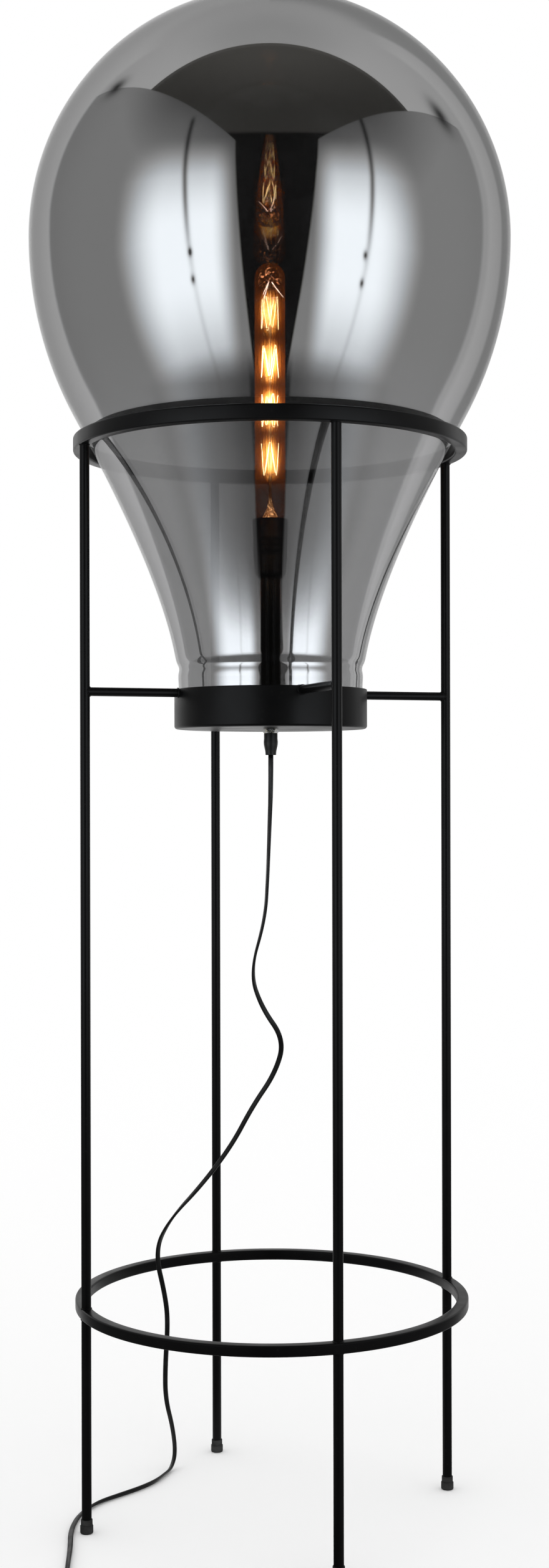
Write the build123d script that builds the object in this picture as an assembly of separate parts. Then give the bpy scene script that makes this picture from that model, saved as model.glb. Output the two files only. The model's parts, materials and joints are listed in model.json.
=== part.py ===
from build123d import *
import math
import os

# A floor lamp: a smoky glass globe on a funnel neck, set in a shallow metal pan and steadied by a ring,
# on four upright rods. One long tubular bulb stands inside. Millimetres, +Z up, the floor is z = 0,
# the lamp's own axis is the Z axis, and its front faces -Y.

# Fits
weld_gap = 0.05          # between pieces that are welded, glued or pressed together
slip_gap = 0.1           # between pieces that slip over each other by hand
lift_gap = 0.3           # round the glass where it lifts out
ring_gap = 0.5           # between the funnel and the ring that steadies it
over = 1.0               # how far a cutter runs past what it cuts

# Frame
leg_r = 5.0
leg_turn = -71.5         # degrees from +X to the front leg
sides = ("front", "right", "back", "left")
ring_w = 13.0            # radial width of the ring that steadies the glass
ring_h = 15.0
ring_top_z = 1117.5
ring_round = 2.0
low_ring_cheek = 0.95    # what is left of the lower ring beside a leg
low_ring_h = 11.0
low_ring_z = 216.5       # underside of the ring near the floor
low_ring_round = 1.8

# Feet
foot_h = 14.0
foot_floor = 3.0         # plastic under the end of the leg
foot_collar = 0.9        # wall of the slim upper part
foot_skirt = 1.6         # wall of the stout lower part
foot_skirt_h = 8.0
foot_round = 1.4

# Pan and its spokes
pan_z = 816.0
pan_h = 41.0
pan_wall = 2.0
pan_corner = 3.0
pan_rim_round = 0.8
spoke_r = 4.5

# Soft ring that the glass stands in
seat_t = 2.0
seat_wall = 2.35
seat_lip_h = 8.0
seat_inside = 7.0        # how far the soft ring reaches in under the glass

# Glass
globe_r = 250.0
globe_rise = 502.0       # from the lip of the neck up to the widest place
shoulder_r = 378.0       # the globe goes on below its widest place with this slower curve
shoulder_sweep = 28.4
neck_r = 95.8
neck_h = 35.0
flare_top_pull = 150.0   # how stiffly the funnel leaves the shoulder
flare_low_pull = 60.0    # and the neck
glass_wall = 3.0
lip_round = 1.2

# Cable gland under the pan
thread_r = 5.0
thread_wall = 1.0
nut_across = 14.0
gland_nut_h = 4.3
inner_nut_h = 4.0
grip_h = 22.8
grip_top_r = 7.1
grip_waist_r = 7.4
grip_waist_h = 14.0      # up from the cord's exit
grip_slope_h = 3.0       # between the collar and the waist
grip_curve = 6.0         # how stiffly the taper leaves the waist and reaches the tip
grip_tip_r = 5.6
grip_thread_h = 11.7     # how far the threaded tube screws into the grip
grip_screw_r = 1.5
grip_screw_h = 6.0       # up from the cord's exit
stem_room = 0.9          # between the inner nut's corners and the stem round it
stem_wall = 1.5
stem_len = 154.5

# Lampholder
holder_taper = 0.8       # the cup's foot is this much slimmer than its top
holder_step = 0.5        # and its top than the sleeve that stands on it
holder_cap_h = 19.5
holder_corner = 8.0
holder_floor = 7.5
thread_in_holder = 9.5
spigot_h = 3.0
spigot_wall = 1.0
sleeve_room = 2.0        # between the screw shell and the sleeve
sleeve_flare = 1.0
sleeve_wall = 1.4
sleeve_h = 43.0
sleeve_round = 0.56
block_up = 11.5          # underside of the ceramic block above the holder's own underside
block_h = 12.0
block_ledge = 2.0
terminal_r = 1.3
terminal_head_r = 2.2
terminal_head_h = 1.5
terminal_depth = 5.0
terminal_out = 8.0
shell_gap = 0.5          # round the bulb's cap, where the threads are
shell_wall = 0.5
shell_h = 26.0
shell_rim = 2.0          # turned in where the shell stands on the block
tongue_w = 6.0
tongue_t = 0.6
tongue_rise = 5.9
tongue_root = 9.0        # from the axis out to the end of the tongue's foot
tongue_bend = 5.0
tongue_flat = 2.75

# Bulb
bulb_len = 300.7
bulb_r = 16.0
bulb_wall = 0.8
bulb_cap_r = 13.1
bulb_cap_wall = 0.5
bulb_cap_h = 24.0
bulb_cap_cone = 3.0
insulator_h = 2.5
insulator_r = 8.0
insulator_in = 1.0
contact_h = 1.5
contact_r = 4.8
contact_cone = 1.0
glass_in_cap = 10.0
bulb_shoulder_h = 12.0
stem_glass_wall = 0.8
stem_flare_h = 40.0
rod_r = 1.5
rod_short = 18.7         # the glass rod ends this far under the top of the bulb
cages = 4
cage_up = 96.0           # middle of the lowest filament cage above the contact
cage_under_top = 17.9    # top of the highest cage under the rod's end
cage_turn = 20.0         # degrees from one cage to the next
cage_h = 32.0
cage_r = 9.0
cage_hooks = 4
strand_r = 0.25
strand_hook = 1.3        # how wide a strand bends round its hook
wire_r = 0.35
springs = 3
spring_root = 1.0        # under the rod's end
spring_reach = 14.0
spring_drop = 17.0

# Cord
cord_r = 2.7
coil_x, coil_y = 19.0, -228.0
coil_out_r = 34.0
coil_gap = 0.5           # between turns that lie side by side
coil_halves = 6
arc_share = 0.45         # of the shorter run, used up by the arc at its end

# Foot switch on the cord
switch_len = 54.0
switch_w = 30.0
switch_base_h = 9.0
switch_h = 20.0
switch_nose_len = 20.0
switch_nose_r = 4.6
switch_nose_tip_r = 3.8
switch_x, switch_y = -103.0, -246.0
switch_cord_z = 6.5
button_r = 9.0
button_gap = 0.2
button_up = 4.0
button_travel = 3.0
button_room = 0.5        # left under the button when it is pressed
switch_base_round = 1.5
switch_top_round = 4.0
button_round = 2.0

# Two-pin plug
plug_w = 35.3
plug_t = 13.7
plug_len = 36.0
plug_tail_w = 13.0
plug_straight = 12.0
plug_nose_len = 22.0
plug_nose_r = 4.6
plug_nose_tip_r = 3.3
plug_x = 72.0            # where the cord enters the plug
plug_y = -250.0
plug_round = 3.0
pin_r = 2.0
pin_len = 19.0
pin_pitch = 18.6
pin_round = 1.2

# Heights and radii that follow from the sizes above
pan_r = neck_r + lift_gap + seat_wall + weld_gap + pan_wall
nut_corner_r = nut_across / 2 / math.cos(math.pi / 6)
stem_r = nut_corner_r + stem_room + stem_wall
shell_bore = bulb_cap_r + shell_gap
sleeve_low_r = shell_bore + shell_wall + sleeve_room + sleeve_wall
holder_top_r = sleeve_low_r - holder_step
spigot_r = sleeve_low_r - sleeve_wall - slip_gap
block_r = spigot_r - spigot_wall
bulb_neck_r = bulb_cap_r - bulb_cap_wall - slip_gap
pan_floor_z = pan_z + pan_wall
lip_z = pan_floor_z + seat_t
globe_z = lip_z + globe_rise
neck_top_z = lip_z + neck_h
holder_z = pan_floor_z + stem_len
sleeve_z = holder_z + holder_cap_h
block_z = holder_z + block_up
block_top_z = block_z + block_h
bulb_z = block_top_z + tongue_rise + slip_gap
cap_z = bulb_z + contact_h + insulator_h
cap_top_z = cap_z + bulb_cap_h
glass_foot_z = cap_top_z - glass_in_cap
bulb_top_z = bulb_z + bulb_len
rod_top_z = bulb_top_z - rod_short
cage_low_z = bulb_z + cage_up
cage_pitch = (rod_top_z - cage_under_top - cage_h / 2 - cage_low_z) / (cages - 1)
grip_top_z = pan_z - gland_nut_h
exit_z = grip_top_z - grip_h
floor_z = cord_r
coil_pitch = 2 * cord_r + coil_gap

# The cord's free stretches, as points chosen by hand
cord_drop_route = [
    (0, 0, exit_z), (0, 0, 753), (-1.6, 2.5, 712), (-3.6, 8, 660), (-6.2, 14, 617), (-22.4, 25, 560),
    (-10.6, 33, 522), (14, 43, 486), (4, 54, 449), (-20.6, 63, 412), (-43, 76, 368), (-76, 87, 323),
    (-112, 97, 283), (-128.4, 105, 247), (-117.4, 115, 195), (-114.8, 119, 165), (-118.3, 126, 115),
    (-118.4, 130, 78), (-110.6, 136, 44), (-107.6, 137, 15), (-111.5, 124, floor_z), (-117, 107, floor_z),
    (-126, 83, floor_z), (-141.5, 61, floor_z), (-162, 40, floor_z), (-186, 15.5, floor_z),
    (-200, -18, floor_z), (-204.5, -63, floor_z), (-200, -110, floor_z), (-198, -158, floor_z),
    (-195, -204, floor_z), (-186, -232, floor_z), (-168, switch_y, switch_cord_z),
    (switch_x - switch_len / 2 - switch_nose_len, switch_y, switch_cord_z),
]
coil_in = (coil_x - 2 * cord_r, coil_y - coil_out_r, floor_z)
cord_lead_route = [
    (switch_x + switch_len / 2 + switch_nose_len, switch_y, switch_cord_z),
    (-39, switch_y, switch_cord_z), (-21, -251, floor_z), (-3, coil_in[1], floor_z), coil_in,
]
coil_end = (coil_x + 2 * cord_r, coil_y - coil_out_r + coil_pitch, floor_z + coil_pitch)
cord_tail_route = [
    coil_end, (40, coil_end[1], coil_end[2]), (56, plug_y, plug_t / 2), (plug_x, plug_y, plug_t / 2),
]

BOTTOM = (Align.CENTER, Align.CENTER, Align.MIN)


def turned(outline):
    """A solid turned about the lamp's axis from a closed outline of (radius, height)."""
    return revolve(Plane.XZ * make_face(outline), Axis.Z)


def turned_points(*points):
    return turned(Polyline(*points, close=True))


def rod(radius, low, high):
    return Pos(0, 0, low) * Cylinder(radius, high - low, align=BOTTOM)


def edges_at(solid, height, radius=None):
    """The round edges of a turned solid at one height, and of one radius if it is given."""
    found = solid.edges().filter_by(GeomType.CIRCLE)
    found = found.filter_by(lambda e: abs(e.center().Z - height) < 1e-3)
    if radius is None:
        return found
    return found.filter_by(lambda e: abs(e.radius - radius) < 1e-3)


def strut(start, end, radius):
    """A round wire or bar from one point to another."""
    start, end = Vector(*start), Vector(*end)
    return Plane(start, z_dir=end - start) * Cylinder(radius, (end - start).length, align=BOTTOM)


# The glass outline


def shoulder_end(inset):
    sweep_angle = math.radians(shoulder_sweep)
    reach = shoulder_r - inset
    return (globe_r - shoulder_r + reach * math.cos(sweep_angle), globe_z - reach * math.sin(sweep_angle))


def flare_poles(inset):
    """Start, two pulls and end of the funnel's curve, from the shoulder down to the neck."""
    r, z = shoulder_end(inset)
    lean = math.radians(shoulder_sweep)
    upper = (r - flare_top_pull * math.sin(lean), z - flare_top_pull * math.cos(lean))
    lower = (neck_r - inset, neck_top_z + flare_low_pull)
    return (r, z), upper, lower, (neck_r - inset, neck_top_z)


def glass_radius(height):
    """Outer radius of the glass at a height; in the funnel, by halving."""
    if height > globe_z:
        return math.sqrt(globe_r**2 - (height - globe_z) ** 2)
    if height > shoulder_end(0)[1]:
        return globe_r - shoulder_r + math.sqrt(shoulder_r**2 - (globe_z - height) ** 2)
    poles = flare_poles(0)
    low, high = 0.0, 1.0
    for _ in range(40):
        t = (low + high) / 2
        weights = ((1 - t) ** 3, 3 * t * (1 - t) ** 2, 3 * t**2 * (1 - t), t**3)
        r, z = (sum(w * p[k] for w, p in zip(weights, poles)) for k in (0, 1))
        if z > height:
            low = t
        else:
            high = t
    return r


def glass_side(inset):
    """One side of the glass wall, from the top of the globe down to the end of the funnel."""
    dome = CenterArc((0, globe_z), globe_r - inset, 90, -90)
    shoulder = CenterArc((globe_r - shoulder_r, globe_z), shoulder_r - inset, 0, -shoulder_sweep)
    return dome, shoulder, Bezier(*flare_poles(inset))


ring_in_r = glass_radius(ring_top_z) + ring_gap
ring_mid_r = ring_in_r + ring_w / 2
low_ring_w = 2 * (leg_r + weld_gap + low_ring_cheek)
leg_spots = [
    (ring_mid_r * math.cos(math.radians(a)), ring_mid_r * math.sin(math.radians(a)))
    for a in (leg_turn + 90 * k for k in range(len(sides)))
]


def glass_shade():
    outer, inner = glass_side(0), glass_side(glass_wall)
    outline = Curve() + [
        *outer,
        Line((neck_r, neck_top_z), (neck_r, lip_z)),
        Line((neck_r, lip_z), (neck_r - glass_wall, lip_z)),
        Line((neck_r - glass_wall, lip_z), (neck_r - glass_wall, neck_top_z)),
        *inner,
        Line((0, globe_z + globe_r - glass_wall), (0, globe_z + globe_r)),
    ]
    return fillet(edges_at(turned(outline), lip_z), lip_round)


# Frame


def leg(spot):
    return Pos(*spot, 0) * rod(leg_r, foot_floor, ring_top_z - ring_h)


def foot(spot):
    """A plastic sleeve, stout below and slim above, closed under the end of the leg."""
    bore = leg_r + weld_gap
    skirt, collar = bore + foot_skirt, bore + foot_collar
    solid = turned_points(
        (0, 0), (skirt, 0), (skirt, foot_skirt_h), (collar, foot_skirt_h + foot_skirt - foot_collar),
        (collar, foot_h), (bore, foot_h), (bore, foot_floor), (0, foot_floor),
    )
    solid = fillet(edges_at(solid, 0, skirt), foot_round)
    return Pos(*spot, 0) * solid


def upper_ring():
    """The ring that steadies the glass; its top inner edge lies just clear of the funnel."""
    profile = Pos(ring_mid_r, ring_top_z - ring_h / 2) * RectangleRounded(ring_w, ring_h, ring_round)
    return revolve(Plane.XZ * profile, Axis.Z)


def lower_ring():
    middle = low_ring_z + low_ring_h / 2
    profile = Pos(ring_mid_r, middle) * RectangleRounded(low_ring_w, low_ring_h, low_ring_round)
    solid = revolve(Plane.XZ * profile, Axis.Z)
    for spot in leg_spots:
        solid -= Pos(*spot, middle) * Cylinder(leg_r + weld_gap, low_ring_h * 2)
    return solid


def shade_pan():
    """A pressed dish with a rounded bottom corner and a hole for the threaded tube."""
    solid = rod(pan_r, pan_z, pan_z + pan_h)
    solid = fillet(edges_at(solid, pan_z), pan_corner)
    hollow = rod(pan_r - pan_wall, pan_floor_z, pan_z + 2 * pan_h)
    hollow = fillet(edges_at(hollow, pan_floor_z), pan_corner - pan_wall)
    solid -= hollow
    solid = fillet(edges_at(solid, pan_z + pan_h), pan_rim_round)
    return solid - rod(thread_r + slip_gap, pan_z - pan_h, pan_z + pan_h)


def seat_ring():
    """A soft ring in the pan's corner: a floor under the lip of the glass and a low wall round it."""
    outside = pan_r - pan_wall - weld_gap
    corner = pan_corner - pan_wall
    wall_in = neck_r + lift_gap
    return turned_points(
        (neck_r - seat_inside, pan_floor_z), (outside - corner, pan_floor_z),
        (outside, pan_floor_z + corner), (outside, lip_z + seat_lip_h), (wall_in, lip_z + seat_lip_h),
        (wall_in, lip_z), (neck_r - seat_inside, lip_z),
    )


def spoke(spot):
    """A round bar from the pan's wall to its leg, coped at both ends, its top level with the rim."""
    height = pan_z + pan_h - spoke_r
    ends = [tuple(Vector(*spot).normalized() * r)[:2] for r in (pan_r - pan_wall, ring_mid_r)]
    bar = strut((*ends[0], height), (*ends[1], height), spoke_r)
    bar -= rod(pan_r + weld_gap, pan_z - pan_h, pan_z + 2 * pan_h)
    return bar - Pos(*spot, 0) * rod(leg_r + weld_gap, foot_floor, ring_top_z)


# Gland and stem


def tube(outer, inner, low, high):
    return rod(outer, low, high) - rod(inner, low - over, high + over)


def locknut(low, height):
    half = nut_across / 2
    blank = Pos(0, 0, low) * extrude(RegularPolygon(half, 6, major_radius=False), height)
    bevel = turned_points(
        (0, low), (half, low), (nut_corner_r, low + height / 4), (nut_corner_r, low + height * 3 / 4),
        (half, low + height), (0, low + height),
    )
    return (blank & bevel) - rod(thread_r + slip_gap, low - over, low + height + over)


def cord_grip():
    """A nylon grip: a collar, a bulge and a taper down to the cord, bored for tube and cord."""
    waist_z = exit_z + grip_waist_h
    slope_z = waist_z + grip_slope_h
    screw_z = exit_z + grip_screw_h
    outline = Curve() + [
        Line((0, grip_top_z), (grip_top_r, grip_top_z)),
        Line((grip_top_r, grip_top_z), (grip_top_r, slope_z)),
        Line((grip_top_r, slope_z), (grip_waist_r, waist_z)),
        Bezier(
            (grip_waist_r, waist_z), (grip_waist_r, waist_z - grip_curve),
            (grip_tip_r, exit_z + grip_curve), (grip_tip_r, exit_z),
        ),
        Line((grip_tip_r, exit_z), (0, exit_z)),
        Line((0, exit_z), (0, grip_top_z)),
    ]
    solid = turned(outline)
    solid -= rod(thread_r + slip_gap, grip_top_z - grip_thread_h, grip_top_z + over)
    solid -= rod(cord_r + slip_gap, exit_z - over, grip_top_z)
    return solid - strut((0, 0, screw_z), (0, grip_waist_r + over, screw_z), grip_screw_r)


def grip_screw():
    """The small screw at the back of the grip that holds the cord."""
    height = exit_z + grip_screw_h
    return strut((0, cord_r + slip_gap, height), (0, grip_tip_r, height), grip_screw_r - weld_gap)


def threaded_tube():
    low, high = grip_top_z - grip_thread_h, holder_z + thread_in_holder
    return tube(thread_r, thread_r - thread_wall, low, high)


def inner_flex():
    return rod(cord_r, exit_z, block_z)


# Lampholder


def lampholder_cap():
    """The holder's lower cup, with a hole for the tube, a ledge for the block and a spigot."""
    top, arc_end = sleeve_z, holder_z + holder_corner
    low_r = holder_top_r - holder_taper
    outline = Curve() + [
        Line((0, holder_z), (low_r - holder_corner, holder_z)),
        CenterArc((low_r - holder_corner, arc_end), holder_corner, -90, 90),
        Line((low_r, arc_end), (holder_top_r, top)),
        Line((holder_top_r, top), (0, top)),
        Line((0, top), (0, holder_z)),
    ]
    solid = turned(outline) + rod(spigot_r, top - over, top + spigot_h)
    solid -= rod(block_r + weld_gap, block_z, top + spigot_h + over)
    solid -= rod(block_r - block_ledge, holder_z + holder_floor, top)
    return solid - rod(thread_r + slip_gap, holder_z - over, top)


def lampholder_sleeve():
    """The holder's outer sleeve, a little wider at its top, standing on the cup's shoulder."""
    top, top_r = sleeve_z + sleeve_h, sleeve_low_r + sleeve_flare
    solid = turned_points(
        (sleeve_low_r - sleeve_wall, sleeve_z), (sleeve_low_r, sleeve_z), (top_r, top),
        (top_r - sleeve_wall, top),
    )
    return fillet(edges_at(solid, top), sleeve_round)


def terminal_spots():
    return [(side * terminal_out, 0) for side in (-1, 1)]


def terminal_block():
    solid = rod(block_r, block_z, block_top_z)
    hole = rod(terminal_r + weld_gap, block_z - over, block_z + terminal_depth + weld_gap)
    for spot in terminal_spots():
        solid -= Pos(*spot, 0) * hole
    return solid


def terminal_screws():
    one = rod(terminal_r, block_z, block_z + terminal_depth)
    one += rod(terminal_head_r, block_z - terminal_head_h, block_z)
    return Compound(children=[Pos(*spot, 0) * one for spot in terminal_spots()])


def screw_shell():
    """The threaded brass shell that takes the bulb, with a rim turned in where it stands on the block."""
    outer, inner = shell_bore + shell_wall, shell_bore - shell_rim
    return turned_points(
        (inner, block_top_z), (outer, block_top_z), (outer, block_top_z + shell_h),
        (shell_bore, block_top_z + shell_h), (shell_bore, block_top_z + shell_wall),
        (inner, block_top_z + shell_wall),
    )


def centre_contact():
    """A springy brass tongue that rises from the block to the middle of the bulb's foot."""
    low, high = block_top_z, block_top_z + tongue_rise
    slope = math.atan2(tongue_rise - tongue_t, tongue_bend - tongue_flat)
    back = tongue_t * math.tan(slope / 2)
    strip = Polyline(
        (-tongue_root, low), (-tongue_bend, low), (-tongue_flat, high - tongue_t),
        (tongue_flat, high - tongue_t), (tongue_flat, high), (-tongue_flat - back, high),
        (-tongue_bend - back, low + tongue_t), (-tongue_root, low + tongue_t), close=True,
    )
    return extrude(Plane.XZ * make_face(strip), tongue_w / 2, both=True)


# Bulb


def bulb_cap():
    wall, shoulder = bulb_cap_wall, cap_z + bulb_cap_cone
    return turned_points(
        (insulator_r, cap_z), (bulb_cap_r, shoulder), (bulb_cap_r, cap_top_z),
        (bulb_cap_r - wall, cap_top_z), (bulb_cap_r - wall, shoulder + wall),
        (insulator_r, cap_z + 2 * wall),
    )


def bulb_insulator():
    low, high = bulb_z + contact_h, cap_z + insulator_in
    return turned_points((0, low), (contact_r, low), (insulator_r, cap_z), (insulator_r, high), (0, high))


def bulb_contact():
    top = bulb_z + contact_h
    return turned_points((0, bulb_z), (contact_r - contact_cone, bulb_z), (contact_r, top), (0, top))


def bulb_side(inset):
    """One side of the bulb's glass from its top down to its lower end in the cap."""
    neck, body = bulb_neck_r - inset, bulb_r - inset
    full = cap_top_z + bulb_shoulder_h
    middle = cap_top_z + bulb_shoulder_h / 2
    dome_z = bulb_top_z - bulb_r
    return [
        CenterArc((0, dome_z), body, 90, -90),
        Line((body, dome_z), (body, full)),
        Bezier((body, full), (body, middle), (neck, middle), (neck, cap_top_z)),
        Line((neck, cap_top_z), (neck, glass_foot_z)),
    ]


def bulb_glass():
    outline = Curve() + [
        *bulb_side(0),
        Line((bulb_neck_r, glass_foot_z), (bulb_neck_r - bulb_wall, glass_foot_z)),
        *bulb_side(bulb_wall),
        Line((0, bulb_top_z - bulb_wall), (0, bulb_top_z)),
    ]
    return turned(outline)


def bulb_stem():
    """The inner glass: a flare sealed to the bulb's neck, drawn out into a long thin rod."""
    foot_r = bulb_neck_r - bulb_wall - weld_gap
    inner_r = foot_r - stem_glass_wall
    low, middle, top = glass_foot_z, glass_foot_z + stem_flare_h / 2, glass_foot_z + stem_flare_h
    hollow_top, hollow_pull = top - stem_flare_h / 4, low + stem_flare_h / 3
    outline = Curve() + [
        Bezier((foot_r, low), (foot_r, middle), (rod_r, middle), (rod_r, top)),
        Line((rod_r, top), (rod_r, rod_top_z)),
        Line((rod_r, rod_top_z), (0, rod_top_z)),
        Line((0, rod_top_z), (0, hollow_top)),
        Bezier((0, hollow_top), (stem_glass_wall, middle), (inner_r, hollow_pull), (inner_r, low)),
        Line((inner_r, low), (foot_r, low)),
    ]
    return turned(outline)


def cage_middles():
    return [cage_low_z + k * cage_pitch for k in range(cages)]


def polar(radius, degrees, height):
    return (radius * math.cos(math.radians(degrees)), radius * math.sin(math.radians(degrees)), height)


def hook_angles(k, upper):
    """The directions of one cage's hooks; the lower ones lie half a step on from the upper ones."""
    step = 360 / cage_hooks
    start = cage_turn * k if upper else cage_turn * k + step / 2
    return [start + j * step for j in range(cage_hooks)]


def filament_cage(k, middle):
    """One carbon thread that zigzags round the rod, over upper and under lower hooks."""
    half_hook = math.degrees(strand_hook / 2 / cage_r)
    points = []
    for up_angle, low_angle in zip(hook_angles(k, True), hook_angles(k, False)):
        for angle, height in ((up_angle, middle + cage_h / 2), (low_angle, middle - cage_h / 2)):
            points += [polar(cage_r, angle - half_hook, height), polar(cage_r, angle + half_hook, height)]
    return rounded_tube(points, strand_r)[0]


def bulb_filaments():
    return Compound(children=[filament_cage(k, z) for k, z in enumerate(cage_middles())])


def bulb_supports():
    """Hook wires from the rod to the threads, and the springy legs at the top that centre the rod."""
    near, far = rod_r + weld_gap, cage_r - strand_r - weld_gap
    wires = []
    for k, middle in enumerate(cage_middles()):
        for upper, height in ((True, middle + cage_h / 2), (False, middle - cage_h / 2)):
            for angle in hook_angles(k, upper):
                wires.append(strut(polar(near, angle, height), polar(far, angle, height), wire_r))
    for j in range(springs):
        angle = 360 * j / springs
        root = polar(near + wire_r, angle, rod_top_z - spring_root)
        wires.append(strut(root, polar(spring_reach, angle, rod_top_z - spring_drop), wire_r))
    return Compound(children=wires)


# Cord


def turn_radii(points):
    """For each corner of a route the largest arc that its two runs allow."""
    radii = []
    for a, b, c in zip(points, points[1:], points[2:]):
        before, after = Vector(*b) - Vector(*a), Vector(*c) - Vector(*b)
        half = math.radians(before.get_angle(after)) / 2
        radii.append(arc_share * min(before.length, after.length) / math.tan(half))
    return radii


def rounded_tube(points, radius):
    """A tube along a route of straight runs joined by tangent arcs, and its path."""
    path = FilletPolyline(*points, radius=turn_radii(points))
    return sweep(Plane(path @ 0, z_dir=path % 0) * Circle(radius), path), path


def say_volume(name, solid, path):
    """Print a cord's length, and its volume as a share of its section times its length."""
    share = solid.volume / (math.pi * cord_r**2 * path.length)
    print(name, "length", round(path.length, 1), "volume", round(share, 4))


def laid_cord(name, points):
    solid, path = rounded_tube(points, cord_r)
    print(name, "least radius", round(min(turn_radii(points)), 1))
    say_volume(name, solid, path)
    return solid, path.length


def coil_path():
    """Half turns that step inwards, climb a layer where they turn back, and step out again."""
    heading, y, z = 1, coil_y - coil_out_r, floor_z
    edges = [Line((coil_x - 2 * cord_r, y, z), (coil_x, y, z))]
    for k in range(coil_halves):
        r = coil_out_r - min(k, coil_halves - k) * coil_pitch / 2
        climb = coil_pitch / 2 if k == coil_halves // 2 else 0
        middle_y = y + heading * r
        middle = (coil_x + heading * math.hypot(r, climb), middle_y, z + climb)
        end = (coil_x, middle_y + heading * r, z + 2 * climb)
        edges.append(TangentArc((coil_x, y, z), middle, tangent=(heading, 0, 0)))
        edges.append(TangentArc(middle, end, tangent=edges[-1] % 1))
        heading, y, z = -heading, end[1], end[2]
    edges.append(Line((coil_x, y, z), (coil_x + 2 * cord_r, y, z)))
    return Wire(edges)


def least_self_gap(path, step=1.5):
    """The least gap between turns, on points whose way along the cord is over three diameters."""
    count = int(path.length / step)
    points = [tuple(path @ (k / count)) for k in range(count + 1)]
    skip = int(6 * cord_r / step)
    pairs = ((p, q) for i, p in enumerate(points) for q in points[i + skip:])
    return min(math.dist(p, q) for p, q in pairs) - 2 * cord_r


def cord_coil():
    path = coil_path()
    solid = sweep(Plane(path @ 0, z_dir=path % 0) * Circle(cord_r), path)
    print("cord_coil least gap to itself", round(least_self_gap(path), 2))
    say_volume("cord_coil", solid, path)
    return solid, path.length


# Foot switch


def switch_cover():
    body = Pos(0, 0, switch_base_h) * extrude(SlotOverall(switch_len, switch_w), switch_h - switch_base_h)
    body = fillet(body.faces().sort_by(Axis.Z)[-1].edges(), switch_top_round)
    body -= rod(button_r + button_gap, switch_base_h - over, switch_h + over)
    return Pos(switch_x, switch_y, 0) * body


def switch_base():
    """The lower half, with a tapered nose at each end where the cord goes in."""
    body = extrude(SlotOverall(switch_len, switch_w), switch_base_h)
    body = fillet(body.faces().sort_by(Axis.Z)[0].edges(), switch_base_round)
    inside = switch_len / 2 - switch_nose_r
    length = switch_nose_len + switch_nose_r
    for side in (-1, 1):
        nose = Cone(switch_nose_r, switch_nose_tip_r, length, align=BOTTOM)
        body += Plane((side * inside, 0, switch_cord_z), z_dir=(side, 0, 0)) * nose
    body -= rod(button_r + button_gap, switch_base_h, switch_h)
    return (Pos(switch_x, switch_y, 0) * body) - switch_cover()


def switch_button():
    top = switch_h + button_up
    low = switch_base_h + button_room + button_travel
    solid = fillet(edges_at(rod(button_r, low, top), top), button_round)
    return Pos(switch_x, switch_y, 0) * solid


# Plug


def plug_body():
    """A flat moulded body that widens towards its pins, with a tapered nose for the cord."""
    start, end = plug_nose_len, plug_nose_len + plug_len
    half, tail = plug_w / 2, plug_tail_w / 2
    outline = Polyline(
        (start, -tail), (end - plug_straight, -half), (end, -half),
        (end, half), (end - plug_straight, half), (start, tail), close=True,
    )
    body = extrude(make_face(outline), plug_t)
    body = fillet(body.edges().filter_by(Axis.Z), plug_round)
    rim = body.faces().sort_by(Axis.Z)
    body = fillet(rim[0].edges() + rim[-1].edges(), plug_round / 2)
    nose = Cone(plug_nose_tip_r, plug_nose_r, plug_nose_len + plug_round, align=BOTTOM)
    body += Plane((0, 0, plug_t / 2), z_dir=(1, 0, 0)) * nose
    return Pos(plug_x, plug_y, 0) * body


def plug_pins():
    base = plug_x + plug_nose_len + plug_len
    pins = []
    for side in (-1, 1):
        pin = fillet(edges_at(rod(pin_r, 0, pin_len), pin_len), pin_round)
        pins.append(Plane((base, plug_y + side * pin_pitch / 2, plug_t / 2), z_dir=(1, 0, 0)) * pin)
    return Compound(children=pins)


def save(name, solid):
    solid.label = name
    export_step(solid, f"parts/{name}.step")


def main():
    os.makedirs("parts", exist_ok=True)
    for side, spot in zip(sides, leg_spots):
        save(f"leg_{side}", leg(spot))
        save(f"foot_{side}", foot(spot))
        save(f"spoke_{side}", spoke(spot))
    for piece in (
        glass_shade, upper_ring, lower_ring, shade_pan, seat_ring, cord_grip, grip_screw, threaded_tube,
        inner_flex, lampholder_cap, lampholder_sleeve, terminal_block, terminal_screws, screw_shell,
        centre_contact, bulb_cap, bulb_insulator, bulb_contact, bulb_glass, bulb_stem, bulb_filaments,
        bulb_supports, switch_cover, switch_base, switch_button, plug_body, plug_pins,
    ):
        save(piece.__name__, piece())
    save("gland_locknut", locknut(pan_z - gland_nut_h, gland_nut_h))
    save("inner_locknut", locknut(pan_floor_z, inner_nut_h))
    save("stem_tube", tube(stem_r, stem_r - stem_wall, pan_floor_z, holder_z))
    routes = {"cord_drop": cord_drop_route, "cord_lead": cord_lead_route, "cord_tail": cord_tail_route}
    total = 0
    for name, route in routes.items():
        solid, length = laid_cord(name, route)
        save(name, solid)
        total += length
    solid, length = cord_coil()
    save("cord_coil", solid)
    print("cord length in all", round(total + length, 1), "leg circle", round(ring_mid_r, 2))


main()
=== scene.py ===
# %% [markdown]
# # A floor lamp with a smoky glass shade
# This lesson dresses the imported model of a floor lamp: four slim rods, two rings and a pan carry one big
# blown glass, which looks half like a mirror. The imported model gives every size. Here it gets its
# finishes, and the smooth shapes that flat facets can't give: the glass, the bulb, the cord.

import json
import math

import bpy
from mathutils import Matrix, Vector, geometry

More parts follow.
